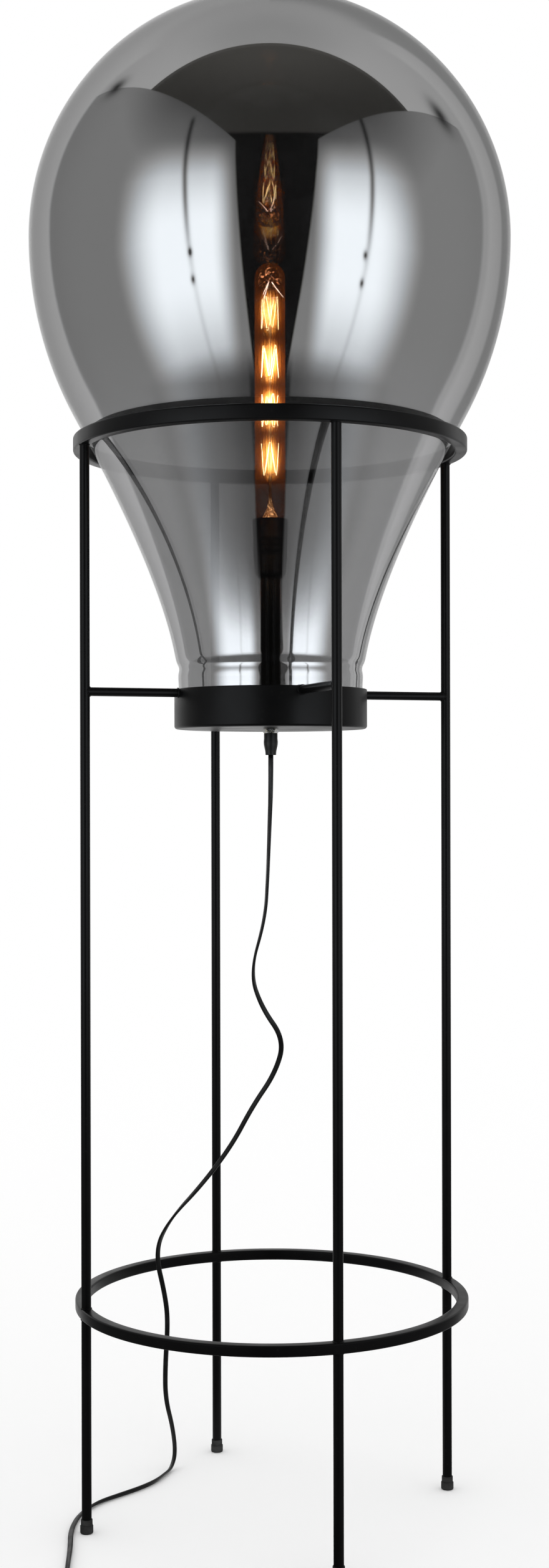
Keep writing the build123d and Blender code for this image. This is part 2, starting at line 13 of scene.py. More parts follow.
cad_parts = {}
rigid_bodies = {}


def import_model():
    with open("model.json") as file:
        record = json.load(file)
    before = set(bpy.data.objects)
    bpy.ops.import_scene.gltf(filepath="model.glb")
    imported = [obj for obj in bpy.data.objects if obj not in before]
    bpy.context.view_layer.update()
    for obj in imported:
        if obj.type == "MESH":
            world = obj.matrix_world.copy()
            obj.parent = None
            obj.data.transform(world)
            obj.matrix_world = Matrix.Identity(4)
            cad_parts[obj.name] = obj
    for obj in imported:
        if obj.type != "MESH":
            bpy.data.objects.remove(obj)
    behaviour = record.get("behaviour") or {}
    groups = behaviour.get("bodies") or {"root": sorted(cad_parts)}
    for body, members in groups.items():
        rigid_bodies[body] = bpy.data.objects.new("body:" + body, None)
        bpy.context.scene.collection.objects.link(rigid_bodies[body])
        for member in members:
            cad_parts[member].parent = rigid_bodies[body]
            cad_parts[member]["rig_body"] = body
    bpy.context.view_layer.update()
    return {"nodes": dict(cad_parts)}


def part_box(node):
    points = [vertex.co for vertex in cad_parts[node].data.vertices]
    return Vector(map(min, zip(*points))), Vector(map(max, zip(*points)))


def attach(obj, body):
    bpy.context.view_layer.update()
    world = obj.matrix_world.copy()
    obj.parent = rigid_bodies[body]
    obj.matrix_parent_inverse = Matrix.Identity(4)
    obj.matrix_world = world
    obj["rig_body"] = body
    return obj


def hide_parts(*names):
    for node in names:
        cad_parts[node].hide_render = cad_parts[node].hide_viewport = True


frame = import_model()
nodes = frame["nodes"]
MM = 0.001

# %% [markdown]
# ## The camera
# The photograph was taken from about two metres, with the camera level and at the height of the pan.
# A long picture is easiest to match with the sensor fitted to its height: the focal length then
# follows from how many pixels a metre takes. A small shift puts the horizon where it was.
# The plain view transform keeps a white wall white, as a shop's cut-out picture has it.

# %% Camera
IMAGE_H = 2515
FOCAL_PX = 3226.87
SENSOR_MM = 36.0
HORIZON_BELOW_MIDDLE_PX = 10.91
CAMERA_AT = (0.0, -2.10165, 0.75154)
CAMERA_YAW = 0.0018
CAMERA_ROLL = 0.0022


def add_camera():
    lens = bpy.data.cameras.new("camera")
    lens.sensor_fit = "VERTICAL"
    lens.sensor_height = SENSOR_MM
    lens.lens = FOCAL_PX / IMAGE_H * SENSOR_MM
    lens.shift_y = HORIZON_BELOW_MIDDLE_PX / IMAGE_H
    lens.clip_end = 50
    camera = bpy.data.objects.new("camera", lens)
    bpy.context.scene.collection.objects.link(camera)
    level = Matrix.Rotation(math.radians(90), 4, "X")
    turned = Matrix.Rotation(-CAMERA_YAW, 4, "Z") @ level @ Matrix.Rotation(-CAMERA_ROLL, 4, "Z")
    camera.matrix_world = Matrix.Translation(CAMERA_AT) @ turned
    bpy.context.scene.camera = camera
    return lens


bpy.context.scene.view_settings.view_transform = "Standard"
print("lens", round(add_camera().lens, 2), "mm")

# %% [markdown]
# ## The cord
# The flex is flat: two cores side by side, 5.4 mm wide and 3.3 mm thick. It hangs from the gland, and its
# own weight and memory of the coil give it its waves. A smooth NURBS curve follows listed points,
# and a small figure-of-eight outline is carried along it, slowly twisting as such a flex does.

# %% Routes of the cord
CORD_W, CORD_T = 5.4, 3.3
FLOOR_Z = CORD_W / 2
EXIT_Z = 788.9
SWITCH_X, SWITCH_Y, SWITCH_CORD_Z, SWITCH_HALF = -103.0, -246.0, 6.5, 47.0
COIL_X, COIL_Y, COIL_OUT_R, COIL_PITCH, COIL_HALVES = 19.0, -228.0, 34.0, 5.9, 6
PLUG_X, PLUG_Y, PLUG_T = 72.0, -250.0, 13.7

drop_route = [
    (0, 0, EXIT_Z), (0, 0, 753), (-1.6, 2.5, 712), (-3.6, 8, 660), (-6.2, 14, 617), (-22.4, 25, 560),
    (-10.6, 33, 522), (14, 43, 486), (4, 54, 449), (-20.6, 63, 412), (-43, 76, 368), (-76, 87, 323),
    (-112, 97, 283), (-128.4, 105, 247), (-117.4, 115, 195), (-114.8, 119, 165), (-118.3, 126, 115),
    (-118.4, 130, 78), (-110.6, 136, 44), (-107.6, 137, 15), (-111.5, 124, FLOOR_Z), (-117, 107, FLOOR_Z),
    (-126, 83, FLOOR_Z), (-141.5, 61, FLOOR_Z), (-162, 40, FLOOR_Z), (-186, 15.5, FLOOR_Z),
    (-200, -18, FLOOR_Z), (-204.5, -63, FLOOR_Z), (-200, -110, FLOOR_Z), (-198, -158, FLOOR_Z),
    (-195, -204, FLOOR_Z), (-186, -232, FLOOR_Z), (-168, SWITCH_Y, SWITCH_CORD_Z),
    (SWITCH_X - SWITCH_HALF, SWITCH_Y, SWITCH_CORD_Z),
]


def coil_points(steps=8):
    """Half turns that step inwards, climb a layer where they turn back, and step out again."""
    heading, y, z = 1, COIL_Y - COIL_OUT_R, FLOOR_Z
    points = [(COIL_X - CORD_W, y, z)]
    for k in range(COIL_HALVES):
        r = COIL_OUT_R - min(k, COIL_HALVES - k) * COIL_PITCH / 2
        climb = COIL_PITCH if k == COIL_HALVES // 2 else 0
        middle_y = y + heading * r
        out_r = r / math.cos(math.pi / steps / 2)
        for j in range(steps):
            share = (j + 0.5) / steps
            a = math.pi * share
            points.append((COIL_X + heading * out_r * math.sin(a), middle_y - heading * out_r * math.cos(a),
                           z + climb * share))
        heading, y, z = -heading, middle_y + heading * r, z + climb
    return points + [(COIL_X + CORD_W, y, z)]


coil = coil_points()
lead_route = [
    (SWITCH_X + SWITCH_HALF, SWITCH_Y, SWITCH_CORD_Z), (-39, SWITCH_Y, SWITCH_CORD_Z), (-21, -251, FLOOR_Z),
    (-3, coil[0][1], FLOOR_Z), *coil, (40, coil[-1][1], coil[-1][2]), (56, PLUG_Y, PLUG_T / 2),
    (PLUG_X, PLUG_Y, PLUG_T / 2),
]
print("points on the routes", len(drop_route), len(lead_route))

# %% A smooth line through a route


def smooth_line(name, route, fine=12):
    """The points of a NURBS curve that takes the route, given in mm, as its control points; in metres."""
    curve = bpy.data.curves.new(name, "CURVE")
    curve.dimensions = "3D"
    spline = curve.splines.new("NURBS")
    spline.points.add(len(route) - 1)
    for point, place in zip(spline.points, route):
        point.co = (*(c * MM for c in place), 1)
    spline.order_u = 3
    spline.use_endpoint_u = True
    spline.resolution_u = fine
    guide = bpy.data.objects.new(name, curve)
    bpy.context.scene.collection.objects.link(guide)
    bpy.context.view_layer.update()
    mesh = bpy.data.meshes.new_from_object(guide)
    points = [v.co.copy() for v in mesh.vertices]
    bpy.data.objects.remove(guide)
    bpy.data.meshes.remove(mesh)
    return points


def line_length(points):
    return sum((b - a).length for a, b in zip(points, points[1:]))


drop_line = smooth_line("drop_line", drop_route)
lead_line = smooth_line("lead_line", lead_route, fine=6)
print("points on the lines", len(drop_line), len(lead_line))

# %% [markdown]
# ### The outline of a flat twin flex
# Each core makes a round lobe, and a web joins them. The outline is carried along the line with a frame
# that never spins by itself: each new frame is the last one, turned only as much as the line turns.
# A twist is then added on purpose, and the flex lies flat where it lies on the floor. Its own UV map
# runs round the outline and along the length, for the fine marks that the extruder leaves.

# %% Carry the outline along the line
FLEX_SIDES = 16
LOBE_R = CORD_T / 2
LOBE_OUT = (CORD_W - CORD_T) / 2
WAIST_DEPTH, WAIST_WIDTH = 0.16, 0.3


def flex_outline():
    """Points of the figure-of-eight section, width along the first axis."""
    outline = []
    for j in range(FLEX_SIDES):
        a = 2 * math.pi * (j + 0.5) / FLEX_SIDES
        side = 1 if math.cos(a) > 0 else -1
        waist = 1 - WAIST_DEPTH * math.exp(-((math.cos(a) / WAIST_WIDTH) ** 2))
        outline.append((side * LOBE_OUT + LOBE_R * math.cos(a), LOBE_R * math.sin(a) * waist))
    return outline


def carry_flex(name, points, twist):
    """A mesh tube of the flat flex; twist gives its turn in radians at a share of the length."""
    outline = flex_outline()
    total, gone = line_length(points), 0.0
    across = Vector((1, 0, 0))
    verts, faces, ring_at, before = [], [], [], points[0]
    for i, point in enumerate(points):
        ahead = (points[min(i + 1, len(points) - 1)] - points[max(i - 1, 0)]).normalized()
        across = (across - across.dot(ahead) * ahead).normalized()
        gone += (point - before).length
        before = point
        t = twist(gone / total, ahead, across)
        wide = math.cos(t) * across + math.sin(t) * ahead.cross(across)
        verts += [point + (x * wide + y * ahead.cross(wide)) * MM for x, y in outline]
        ring_at.append(gone)
    for i in range(len(points) - 1):
        for j in range(FLEX_SIDES):
            a, b = i * FLEX_SIDES + j, i * FLEX_SIDES + (j + 1) % FLEX_SIDES
            faces.append((a, b, b + FLEX_SIDES, a + FLEX_SIDES))
    faces.append(tuple(reversed(range(FLEX_SIDES))))
    faces.append(tuple(range(len(verts) - FLEX_SIDES, len(verts))))
    mesh = bpy.data.meshes.new(name)
    mesh.from_pydata([tuple(v) for v in verts], [], faces)
    flex_map = mesh.uv_layers.new(name="flex")
    for face in mesh.polygons:
        face.use_smooth = len(face.vertices) == 4
        for corner, v in zip(face.loop_indices, face.vertices):
            seam = face.use_smooth and face.vertices[1] % FLEX_SIDES == 0 and v % FLEX_SIDES == 0
            flex_map.data[corner].uv = ((v % FLEX_SIDES) / FLEX_SIDES + seam, ring_at[v // FLEX_SIDES])
    piece = bpy.data.objects.new(name, mesh)
    bpy.context.scene.collection.objects.link(piece)
    return piece


# %% [markdown]
# ### Two cords
# One stretch hangs from the gland and runs over the floor to the foot switch. The other leaves the switch,
# lies in a small coil as it came out of the box, and ends in the plug.

# %% Make the two cords
HANG_TURNS = 1.15
HANG_SHARE = 0.62
RIPPLE, RIPPLES = 0.35, 4.5


def drop_twist(share, *_):
    """The turns that the hanging part takes, and a small ripple all along."""
    hang = min(share / HANG_SHARE, 1.0)
    return 2 * math.pi * (HANG_TURNS * hang) + RIPPLE * math.sin(2 * math.pi * RIPPLES * share)


def lead_twist(_, ahead, across):
    """The turn that lays the flex's width level."""
    return math.atan2(-across.z, ahead.cross(across).z)


cord_drop = carry_flex("flex_to_switch", drop_line, drop_twist)
cord_lead = carry_flex("flex_to_plug", lead_line, lead_twist)
stretches = {cord_drop: ["cord_drop"], cord_lead: ["cord_lead", "cord_coil", "cord_tail"]}
for cord_piece, stood_for in stretches.items():
    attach(cord_piece, "root")
    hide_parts(*stood_for)
print("cord lengths", round(line_length(drop_line), 3), round(line_length(lead_line), 3))

# %% [markdown]
# ## Shader maths as Python
# A node sheet is quick to write when a socket behaves like a number. The wrapper below holds a socket, and
# its operators add Math nodes. One method makes every other node; the short ones after it only save typing.

# %% Sockets that can be added and multiplied


class Wire:
    """An output socket that can be used in sums, as a number can."""

    def __init__(self, sheet, socket):
        self.sheet, self.socket = sheet, socket

    def __add__(self, other):
        return self.sheet.math("ADD", self, other)

    __radd__ = __add__

    def __sub__(self, other):
        return self.sheet.math("SUBTRACT", self, other)

    def __rsub__(self, other):
        return self.sheet.math("SUBTRACT", other, self)

    def __mul__(self, other):
        return self.sheet.math("MULTIPLY", self, other)

    __rmul__ = __mul__

    def __truediv__(self, other):
        return self.sheet.math("DIVIDE", self, other)

    def __rtruediv__(self, other):
        return self.sheet.math("DIVIDE", other, self)

    def __neg__(self):
        return self.sheet.math("MULTIPLY", self, -1.0)

    def __abs__(self):
        return self.sheet.math("ABSOLUTE", self)


class Sheet:
    """The node sheet of a material or of the world."""

    def __init__(self, owner):
        owner.use_nodes = True
        self.tree = owner.node_tree
        self.tree.nodes.clear()

    def node(self, kind, settings=None, inputs=None):
        new = self.tree.nodes.new(kind)
        for name, value in (settings or {}).items():
            if name == "stops":
                ramp = new.color_ramp.elements
                while len(ramp) < len(value):
                    ramp.new(0.5)
                for stop, (place, colour) in zip(ramp, value):
                    stop.position, stop.color = place, colour
            else:
                setattr(new, name, value)
        for key, value in (inputs or {}).items():
            if isinstance(value, Wire):
                self.tree.links.new(value.socket, new.inputs[key])
            else:
                new.inputs[key].default_value = value
        return new

    def out(self, kind, settings=None, inputs=None, socket=0):
        return Wire(self, self.node(kind, settings, inputs).outputs[socket])

    def math(self, operation, *values):
        return self.out("ShaderNodeMath", {"operation": operation}, dict(enumerate(values)))

    def smooth(self, value, low, high, start=0.0, end=1.0):
        """A soft step from start to end while value goes from low to high."""
        inputs = {"Value": value, "From Min": low, "From Max": high, "To Min": start, "To Max": end}
        return self.out("ShaderNodeMapRange", {"interpolation_type": "SMOOTHSTEP"}, inputs)

    def bell(self, value, width):
        """One where value is zero, falling off on both sides as a bell does."""
        share = value / width
        return self.math("EXPONENT", -(share * share))

    def mix(self, factor, first, second):
        inputs = {0: factor, 6: first, 7: second}
        return self.out("ShaderNodeMix", {"data_type": "RGBA"}, inputs, socket=2)

    def place(self):
        return self.out("ShaderNodeTexCoord", socket="Object")

    def parts(self, vector):
        split = self.node("ShaderNodeSeparateXYZ", inputs={0: vector})
        return [Wire(self, split.outputs[k]) for k in range(3)]

    def noise(self, scale, detail=2.0, at=None):
        inputs = {"Vector": at or self.place(), "Scale": scale, "Detail": detail}
        return self.out("ShaderNodeTexNoise", inputs=inputs)

    def bump(self, height, depth_mm):
        inputs = {"Height": height, "Distance": depth_mm * MM, "Strength": 1.0}
        return self.out("ShaderNodeBump", inputs=inputs)

    def surface(self, **inputs):
        """A Principled shader; an underscore in a name stands for a space."""
        named = {name.replace("_", " "): value for name, value in inputs.items()}
        return self.out("ShaderNodeBsdfPrincipled", inputs=named)


def grey(value):
    return (value, value, value, 1)


print("the wrapper is ready")

# %% Helpers that dress a piece


def finish(name, build):
    """A material whose surface the function build draws on its sheet."""
    material = bpy.data.materials.new(name)
    s = Sheet(material)
    s.node("ShaderNodeOutputMaterial", inputs={"Surface": build(s)})
    return material


def dress(material, *pieces):
    for piece in pieces:
        piece.data.materials.clear()
        piece.data.materials.append(material)


print("finishes are ready")

# %% [markdown]
# ## The studio
# A mirror shows the room, so half of the glass's look is the studio round it. A white wall stands behind the
# lamp. At each side a big diffusing panel leans in, brightest where its lamp stands, and between the
# panels, where the camera is, the room is dark. Each is written as a shape in directions: the world's
# colour depends on which way a reflected ray goes. What the camera sees directly, and what falls on matt
# surfaces, stays a plain even white.

# %% The panels beside the camera
PANEL_DIM, PANEL_RISE = 0.165, 0.42
EDGE_SOFT, INNER_SOFT, OUTER_SOFT = 0.008, 0.7, 2
SIDE_LIGHT, SIDE_LIGHT_SPAN = 0.3, (55, 112)
HOT = 2.6
HOT_TOP, HOT_FULL = 34, 2
HOT_FALL, HOT_LOW, HOT_LEFT = -12, -50, 0.15
HOT_NARROWING = 0.22
TUBE_WIDTH, TUBE_SHADE = 0.006, 0.35


def panel(s, side, height, edge, inner, outer, full, hot_inner, hot_outer):
    """How much of a direction the panel fills, and how bright it is there; edge is below zero on it."""
    inside = s.smooth(edge, EDGE_SOFT, -EDGE_SOFT) * s.smooth(side - inner, -INNER_SOFT, INNER_SOFT)
    inside = inside * s.smooth(side, outer + OUTER_SOFT, outer - OUTER_SOFT)
    base = PANEL_DIM - edge * PANEL_RISE + s.smooth(side, *SIDE_LIGHT_SPAN, 0, SIDE_LIGHT)
    base = s.math("MINIMUM", base, full)
    narrowed = side + HOT_NARROWING * s.math("MAXIMUM", height, 0.0)
    across = s.smooth(side, *hot_inner) * s.smooth(narrowed, *hot_outer)
    down = s.smooth(height, HOT_TOP, HOT_FULL) * s.smooth(height, HOT_FALL, HOT_LOW, 1, HOT_LEFT)
    tube = 1 - s.bell(edge, TUBE_WIDTH) * TUBE_SHADE
    return inside, (base + (HOT - base) * (across * down)) * tube


print("hot light", HOT, "dim light", PANEL_DIM)

# %% What stands before the panels
STAND_SHADE, STAND_WIDTH, STAND_LEAN = 0.8, 1.35, 0.083
STAND_FADE_SPAN, STAND_LEFT, STAND_TOP_SPAN = (-14, 14), 0.22, (44, 40)
KNOB_SHADE, KNOB_WIDTH = 0.8, 1.1
UPPER_KNOB, LOWER_KNOB = (5, 1.3), (13, 1.4)
DARKEST_STAND, CLIP_SHADE = 0.95, 0.93


def stand(s, side, height, middle, knob):
    """What a lamp stand in front of the panel leaves of its light: a thin upright line with two knobs."""
    fade = s.smooth(height, *STAND_FADE_SPAN, STAND_LEFT, 1.0) * s.smooth(height, *STAND_TOP_SPAN)
    upright = s.bell(side - middle - height * STAND_LEAN, STAND_WIDTH) * fade
    heights = [s.bell(height + below, tall) for below, tall in (UPPER_KNOB, LOWER_KNOB)]
    knobs = s.bell(side - knob, KNOB_WIDTH) * (heights[0] + heights[1])
    return 1 - s.math("MINIMUM", upright * STAND_SHADE + knobs * KNOB_SHADE, DARKEST_STAND)


def clip(s, side, height, at, wide, high, slant):
    """The small dark clip that holds a panel's upper outer corner."""
    up = height - at[1]
    return 1 - s.bell(side - at[0] - up * slant, wide) * s.bell(up, high) * CLIP_SHADE


print("stands and clips are ready")

# %% [markdown]
# ### The room as a world
# Directions are told by two angles in degrees: the side, which is 0 towards the camera, and the height
# over the horizon. The room is laid down first, then the dark where the camera stands, then the two
# panels, of which the right one's light stands a little further round, and last their clips.

# %% Two panels in numbers
LEFT_PANEL = {
    "turn": -1, "slope": 1.244, "lean": 0.269, "inner": 13.8, "inner_lean": 0.085,
    "body": (125.0, 0.47, (14.5, 27), (78, 51)), "stand": (37.5, 36.9),
    "clip": ((113.7, 46.5), 5.0, 3.0, -0.6),
}
RIGHT_PANEL = {
    "turn": 1, "slope": 0.910, "lean": 0.285, "inner": 18.3, "inner_lean": 0.17,
    "body": (118.0, 0.52, (19, 31.5), (78, 50)), "stand": (46.5, 44.9),
    "clip": ((108.8, 38.7), 5.0, 4.5, 0.0),
}
print("panels reach to", LEFT_PANEL["body"][0], "and", RIGHT_PANEL["body"][0], "degrees")

# %% The studio as a world
BACKGROUND = 1.0
WALL, WALL_RIGHT, WALL_TURN = 1.0, 0.68, (139, 144)
BEHIND_SPAN, WALL_TOP_SPAN = (121, 127), (62, 50)
CEILING_LOW, CEILING_TOP, CEILING_SPAN = 0.84, 0.67, (60, 84)
FLOOR_GLOW, FLOOR_SPAN = 0.62, (-42, -55)
CAP_TILT, CAP_SOFT = 0.105, 0.006
DARK_LOW, DARK_HIGH, DARK_TOP = 0.004, 0.06, 0.125
GAP_TOP_SPAN, CAP_SPAN = (34, 36), (45, 80)
COOL, WARM, PLAIN = (0.95, 1.0, 1.045, 1), (1.0, 0.965, 0.88, 1), (1, 1, 1, 1)
COOL_SPAN = (0.5, 1.3)


def studio_world():
    world = bpy.data.worlds.new("studio")
    bpy.context.scene.world = world
    world.cycles.sampling_method = "NONE"
    s = Sheet(world)
    x, y, z = s.parts(s.out("ShaderNodeTexCoord", socket="Generated"))
    side = s.math("ARCTAN2", x, -y) * math.degrees(1)
    height = s.math("ARCSINE", z) * math.degrees(1)
    ceiling = s.smooth(height, *CEILING_SPAN, CEILING_LOW, CEILING_TOP)
    wall = s.smooth(side, *WALL_TURN, WALL, WALL_RIGHT)
    behind = s.smooth(abs(side), *BEHIND_SPAN) * s.smooth(height, *WALL_TOP_SPAN)
    room = ceiling + (wall - ceiling) * behind
    room = room + (FLOOR_GLOW - room) * s.smooth(height, *FLOOR_SPAN)
    dark = s.smooth(height, *GAP_TOP_SPAN, DARK_LOW, DARK_HIGH)
    dark = dark + s.smooth(height, *CAP_SPAN, 0, DARK_TOP - DARK_HIGH)
    front = s.smooth(-y - CAP_TILT * z, -CAP_SOFT, CAP_SOFT)
    room = room + (dark - room) * front
    lit, clips = 0.0, []
    for one in (LEFT_PANEL, RIGHT_PANEL):
        around = side * one["turn"]
        edge = z - x * (one["turn"] * one["slope"]) + y * one["lean"]
        inner = one["inner"] + one["inner_lean"] * height
        inside, glow = panel(s, around, height, edge, inner, *one["body"])
        glow = glow * stand(s, around, height, *one["stand"])
        room = room + (glow - room) * inside
        lit = s.math("MAXIMUM", lit, inside)
        clips.append(clip(s, around, height, *one["clip"]))
    for left_over in clips:
        room = room * left_over
    tint = s.mix(front * (1 - lit), PLAIN, WARM)
    tint = s.mix(lit * s.smooth(room, *COOL_SPAN), tint, COOL)
    glossy = s.out("ShaderNodeLightPath", socket="Is Glossy Ray")
    strength = BACKGROUND + (room - BACKGROUND) * glossy
    sky = s.out("ShaderNodeBackground", inputs={"Color": s.mix(glossy, PLAIN, tint), "Strength": strength})
    s.node("ShaderNodeOutputWorld", inputs={"Surface": sky})
    return len(s.tree.nodes)


print("nodes in the world", studio_world())

# %% [markdown]
# ## The floor
# A plain pale floor, wide enough to have no edge in the picture. It is as light as the background, so only
# the soft shadows under the feet and the cord tell where it is. It isn't part of the lamp.

# %% Floor
FLOOR_SIDE_M = 60


def staged(piece, name, build):
    """Give a piece of the studio its name and look."""
    piece.name = piece.data.name = name
    material = finish(name, build)
    dress(material, piece)
    return material


def white_floor(s):
    return s.surface(Base_Color=grey(1.0), Roughness=0.8, Specular_IOR_Level=0.0)


bpy.ops.object.select_all(action="DESELECT")
bpy.ops.mesh.primitive_plane_add(size=FLOOR_SIDE_M, location=(0, 0, 0))
floor = bpy.context.object
staged(floor, "floor", white_floor)
floor.visible_glossy = False
print("floor", FLOOR_SIDE_M, "m square")

# %% [markdown]
# ## Shaping
# Most pieces of a lamp are turned on a lathe, pressed over a round form or blown, so one helper spins an
# outline about the lamp's axis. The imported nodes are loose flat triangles. Where such a node already has
# the right shape, a copy of it is merged and shaded smooth up to its real edges, and stands for it.

# %% Helpers that shape a piece


def only(piece):
    """Select one piece alone and make it active."""
    bpy.ops.object.select_all(action="DESELECT")
    piece.select_set(True)
    bpy.context.view_layer.objects.active = piece


def arc(middle_r, middle_z, radius, start, end, steps):
    """Points of an arc from start to end, in degrees, with 0 pointing outwards and 90 up."""
    angles = [math.radians(start + (end - start) * k / steps) for k in range(steps + 1)]
    return [(middle_r + radius * math.cos(a), middle_z + radius * math.sin(a)) for a in angles]


def pulled(start, start_pull, end_pull, end, steps):
    """Points of a smooth curve from start to end, drawn towards two pulls."""
    poles = [Vector((*p, 0)) for p in (start, start_pull, end_pull, end)]
    return [(p.x, p.y) for p in geometry.interpolate_bezier(*poles, steps + 1)]


def lathe(name, outline, steps=96, sharp=30, closed=True):
    """A piece turned about the Z axis from an outline of (radius, height) in millimetres."""
    bpy.ops.object.select_all(action="DESELECT")
    bpy.ops.mesh.primitive_circle_add(vertices=len(outline), radius=1, fill_type="NOTHING")
    piece = bpy.context.object
    piece.name = piece.data.name = name
    last = len(outline) - 1
    for vertex, (r, z) in zip(piece.data.vertices, outline):
        vertex.co = (r * MM, 0, z * MM)
        vertex.select = vertex.index in (0, last)
    for edge in piece.data.edges:
        edge.select = set(edge.vertices) == {0, last}
    bpy.ops.object.mode_set(mode="EDIT")
    bpy.ops.mesh.select_mode(type="EDGE")
    if not closed:
        bpy.ops.mesh.delete(type="EDGE")
    bpy.ops.mesh.select_mode(type="VERT")
    bpy.ops.mesh.select_all(action="SELECT")
    bpy.ops.mesh.spin(steps=steps, angle=2 * math.pi, center=(0, 0, 0), axis=(0, 0, 1))
    bpy.ops.mesh.select_all(action="SELECT")
    bpy.ops.mesh.remove_doubles(threshold=1e-6)
    bpy.ops.mesh.normals_make_consistent(inside=False)
    bpy.ops.object.mode_set(mode="OBJECT")
    bpy.ops.object.shade_smooth_by_angle(angle=math.radians(sharp))
    return piece


def refined(node, sharp=30):
    """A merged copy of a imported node, smooth up to its real edges; it stands for the node."""
    piece = bpy.data.objects.new("fine_" + node, nodes[node].data.copy())
    bpy.context.scene.collection.objects.link(piece)
    only(piece)
    if piece.data.has_custom_normals:
        bpy.ops.mesh.customdata_custom_splitnormals_clear()
    bpy.ops.object.mode_set(mode="EDIT")
    bpy.ops.mesh.select_all(action="SELECT")
    bpy.ops.mesh.remove_doubles(threshold=2e-6)
    bpy.ops.mesh.tris_convert_to_quads()
    bpy.ops.object.mode_set(mode="OBJECT")
    bpy.ops.object.shade_smooth_by_angle(angle=math.radians(sharp))
    return stand_for(piece, node)


def stand_for(piece, *replaced):
    """The piece rides with the first node's body and stands for all of them."""
    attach(piece, nodes[replaced[0]]["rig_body"])
    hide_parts(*replaced)
    return piece


def low_high(node):
    """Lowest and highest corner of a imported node, in millimetres."""
    low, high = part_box(node)
    return low / MM, high / MM


print("glass box", *(tuple(round(v, 1) for v in corner) for corner in low_high("glass_shade")))

# %% [markdown]
# ### A card for reflections
# The panels stand only about a metre away, so a low part of the glass sees more studio floor and less panel
# than a high part does. A world has no such nearness. A wide shallow dish round the lamp has: only
# reflections see it, it is as grey as the studio's floor, and it fades out towards its rim.

# %% The card
CARD_FLAT_R, CARD_RIM_R, CARD_SLOPE = 500.0, 1300.0, 0.583
CARD_FADE_FROM_M, CARD_LIFT = 1.0, 0.3
CARD_LEFT, CARD_RIGHT, CARD_BACK = 0.19, 0.25, 0.85
CARD_GAP_SPAN, CARD_GAP = (11, 13.5), 0.05
CARD_DIM_SPAN, CARD_DIM = (12, 35), 0.5
CARD_BACK_SPAN = (118, 130)


def card_light(s):
    """Grey at the sides, dark before the camera, pale behind, and nothing at the rim."""
    x, y, _ = s.parts(s.place())
    side = s.math("ARCTAN2", x, -y) * math.degrees(1)
    aside = abs(side)
    reach = s.math("SQRT", x * x + y * y)
    light = s.smooth(side, -1, 1, CARD_LEFT, CARD_RIGHT)
    light = light * s.smooth(aside, *CARD_GAP_SPAN, CARD_GAP, 1.0)
    light = light * s.smooth(aside, *CARD_DIM_SPAN, CARD_DIM, 1.0)
    light = light + (CARD_BACK - light) * s.smooth(aside, *CARD_BACK_SPAN)
    shine = s.out("ShaderNodeEmission", inputs={"Color": light, "Strength": 1.0})
    fade = s.smooth(reach, CARD_FADE_FROM_M, CARD_RIM_R * MM)
    return s.out("ShaderNodeMixShader", inputs={0: fade, 1: shine, 2: s.out("ShaderNodeBsdfTransparent")})


rim_z = CARD_LIFT + (CARD_RIM_R - CARD_FLAT_R) * CARD_SLOPE
card = lathe("floor_card", [(0, CARD_LIFT), (CARD_FLAT_R, CARD_LIFT), (CARD_RIM_R, rim_z)], closed=False)
staged(card, "floor_card", card_light).cycles.emission_sampling = "NONE"
for kind in ("camera", "diffuse", "transmission", "volume_scatter", "shadow"):
    setattr(card, "visible_" + kind, False)
print("card rim", round(rim_z), "mm up")

# %% [markdown]
# ## The blown glass
# The shade is one bubble of glass, blown into a mould: a globe, a slower shoulder, and a funnel that ends in
# a straight neck with a fire-rounded lip. It is a true wall 3 mm thick, so the outline runs down the
# outside, round the lip and back up inside. A curve turned in many fine steps gives the mirror its
# clean, unbroken reflections, which a subdivided coarse form would bend.

# %% Outline of the glass
glass_low, glass_high = low_high("glass_shade")
GLOBE_R = glass_high.x
GLOBE_Z = glass_high.z - GLOBE_R
LIP_Z = glass_low.z
SHOULDER_R, SHOULDER_SWEEP = 378.0, 28.4
NECK_R, NECK_H = 95.8, 35.0
NECK_TOP_Z = LIP_Z + NECK_H
FUNNEL_TOP_PULL, FUNNEL_LOW_PULL = 150.0, 60.0
GLASS_WALL = 3.0
LIP_ROUND = 1.2
WAIST_Z, WAIST_DEPTH_MM, WAIST_H = 879.0, 2.1, 5.5


def pinched(r, z):
    """The slight waist that the mould leaves where the funnel turns into the neck."""
    return (r - WAIST_DEPTH_MM * math.exp(-(((z - WAIST_Z) / WAIST_H) ** 2)), z)


def glass_side(inset):
    """One side of the glass wall as (radius, height), from the top of the globe to the end of the neck."""
    dome = arc(0, GLOBE_Z, GLOBE_R - inset, 90, 0, 64)
    shoulder = arc(GLOBE_R - SHOULDER_R, GLOBE_Z, SHOULDER_R - inset, 0, -SHOULDER_SWEEP, 16)
    r, z = shoulder[-1]
    lean = math.radians(SHOULDER_SWEEP)
    upper = (r - FUNNEL_TOP_PULL * math.sin(lean), z - FUNNEL_TOP_PULL * math.cos(lean))
    neck = (NECK_R - inset, NECK_TOP_Z)
    funnel = pulled((r, z), upper, (neck[0], NECK_TOP_Z + FUNNEL_LOW_PULL), neck, 96)
    return dome[:-1] + shoulder[:-1] + [pinched(*point) for point in funnel]


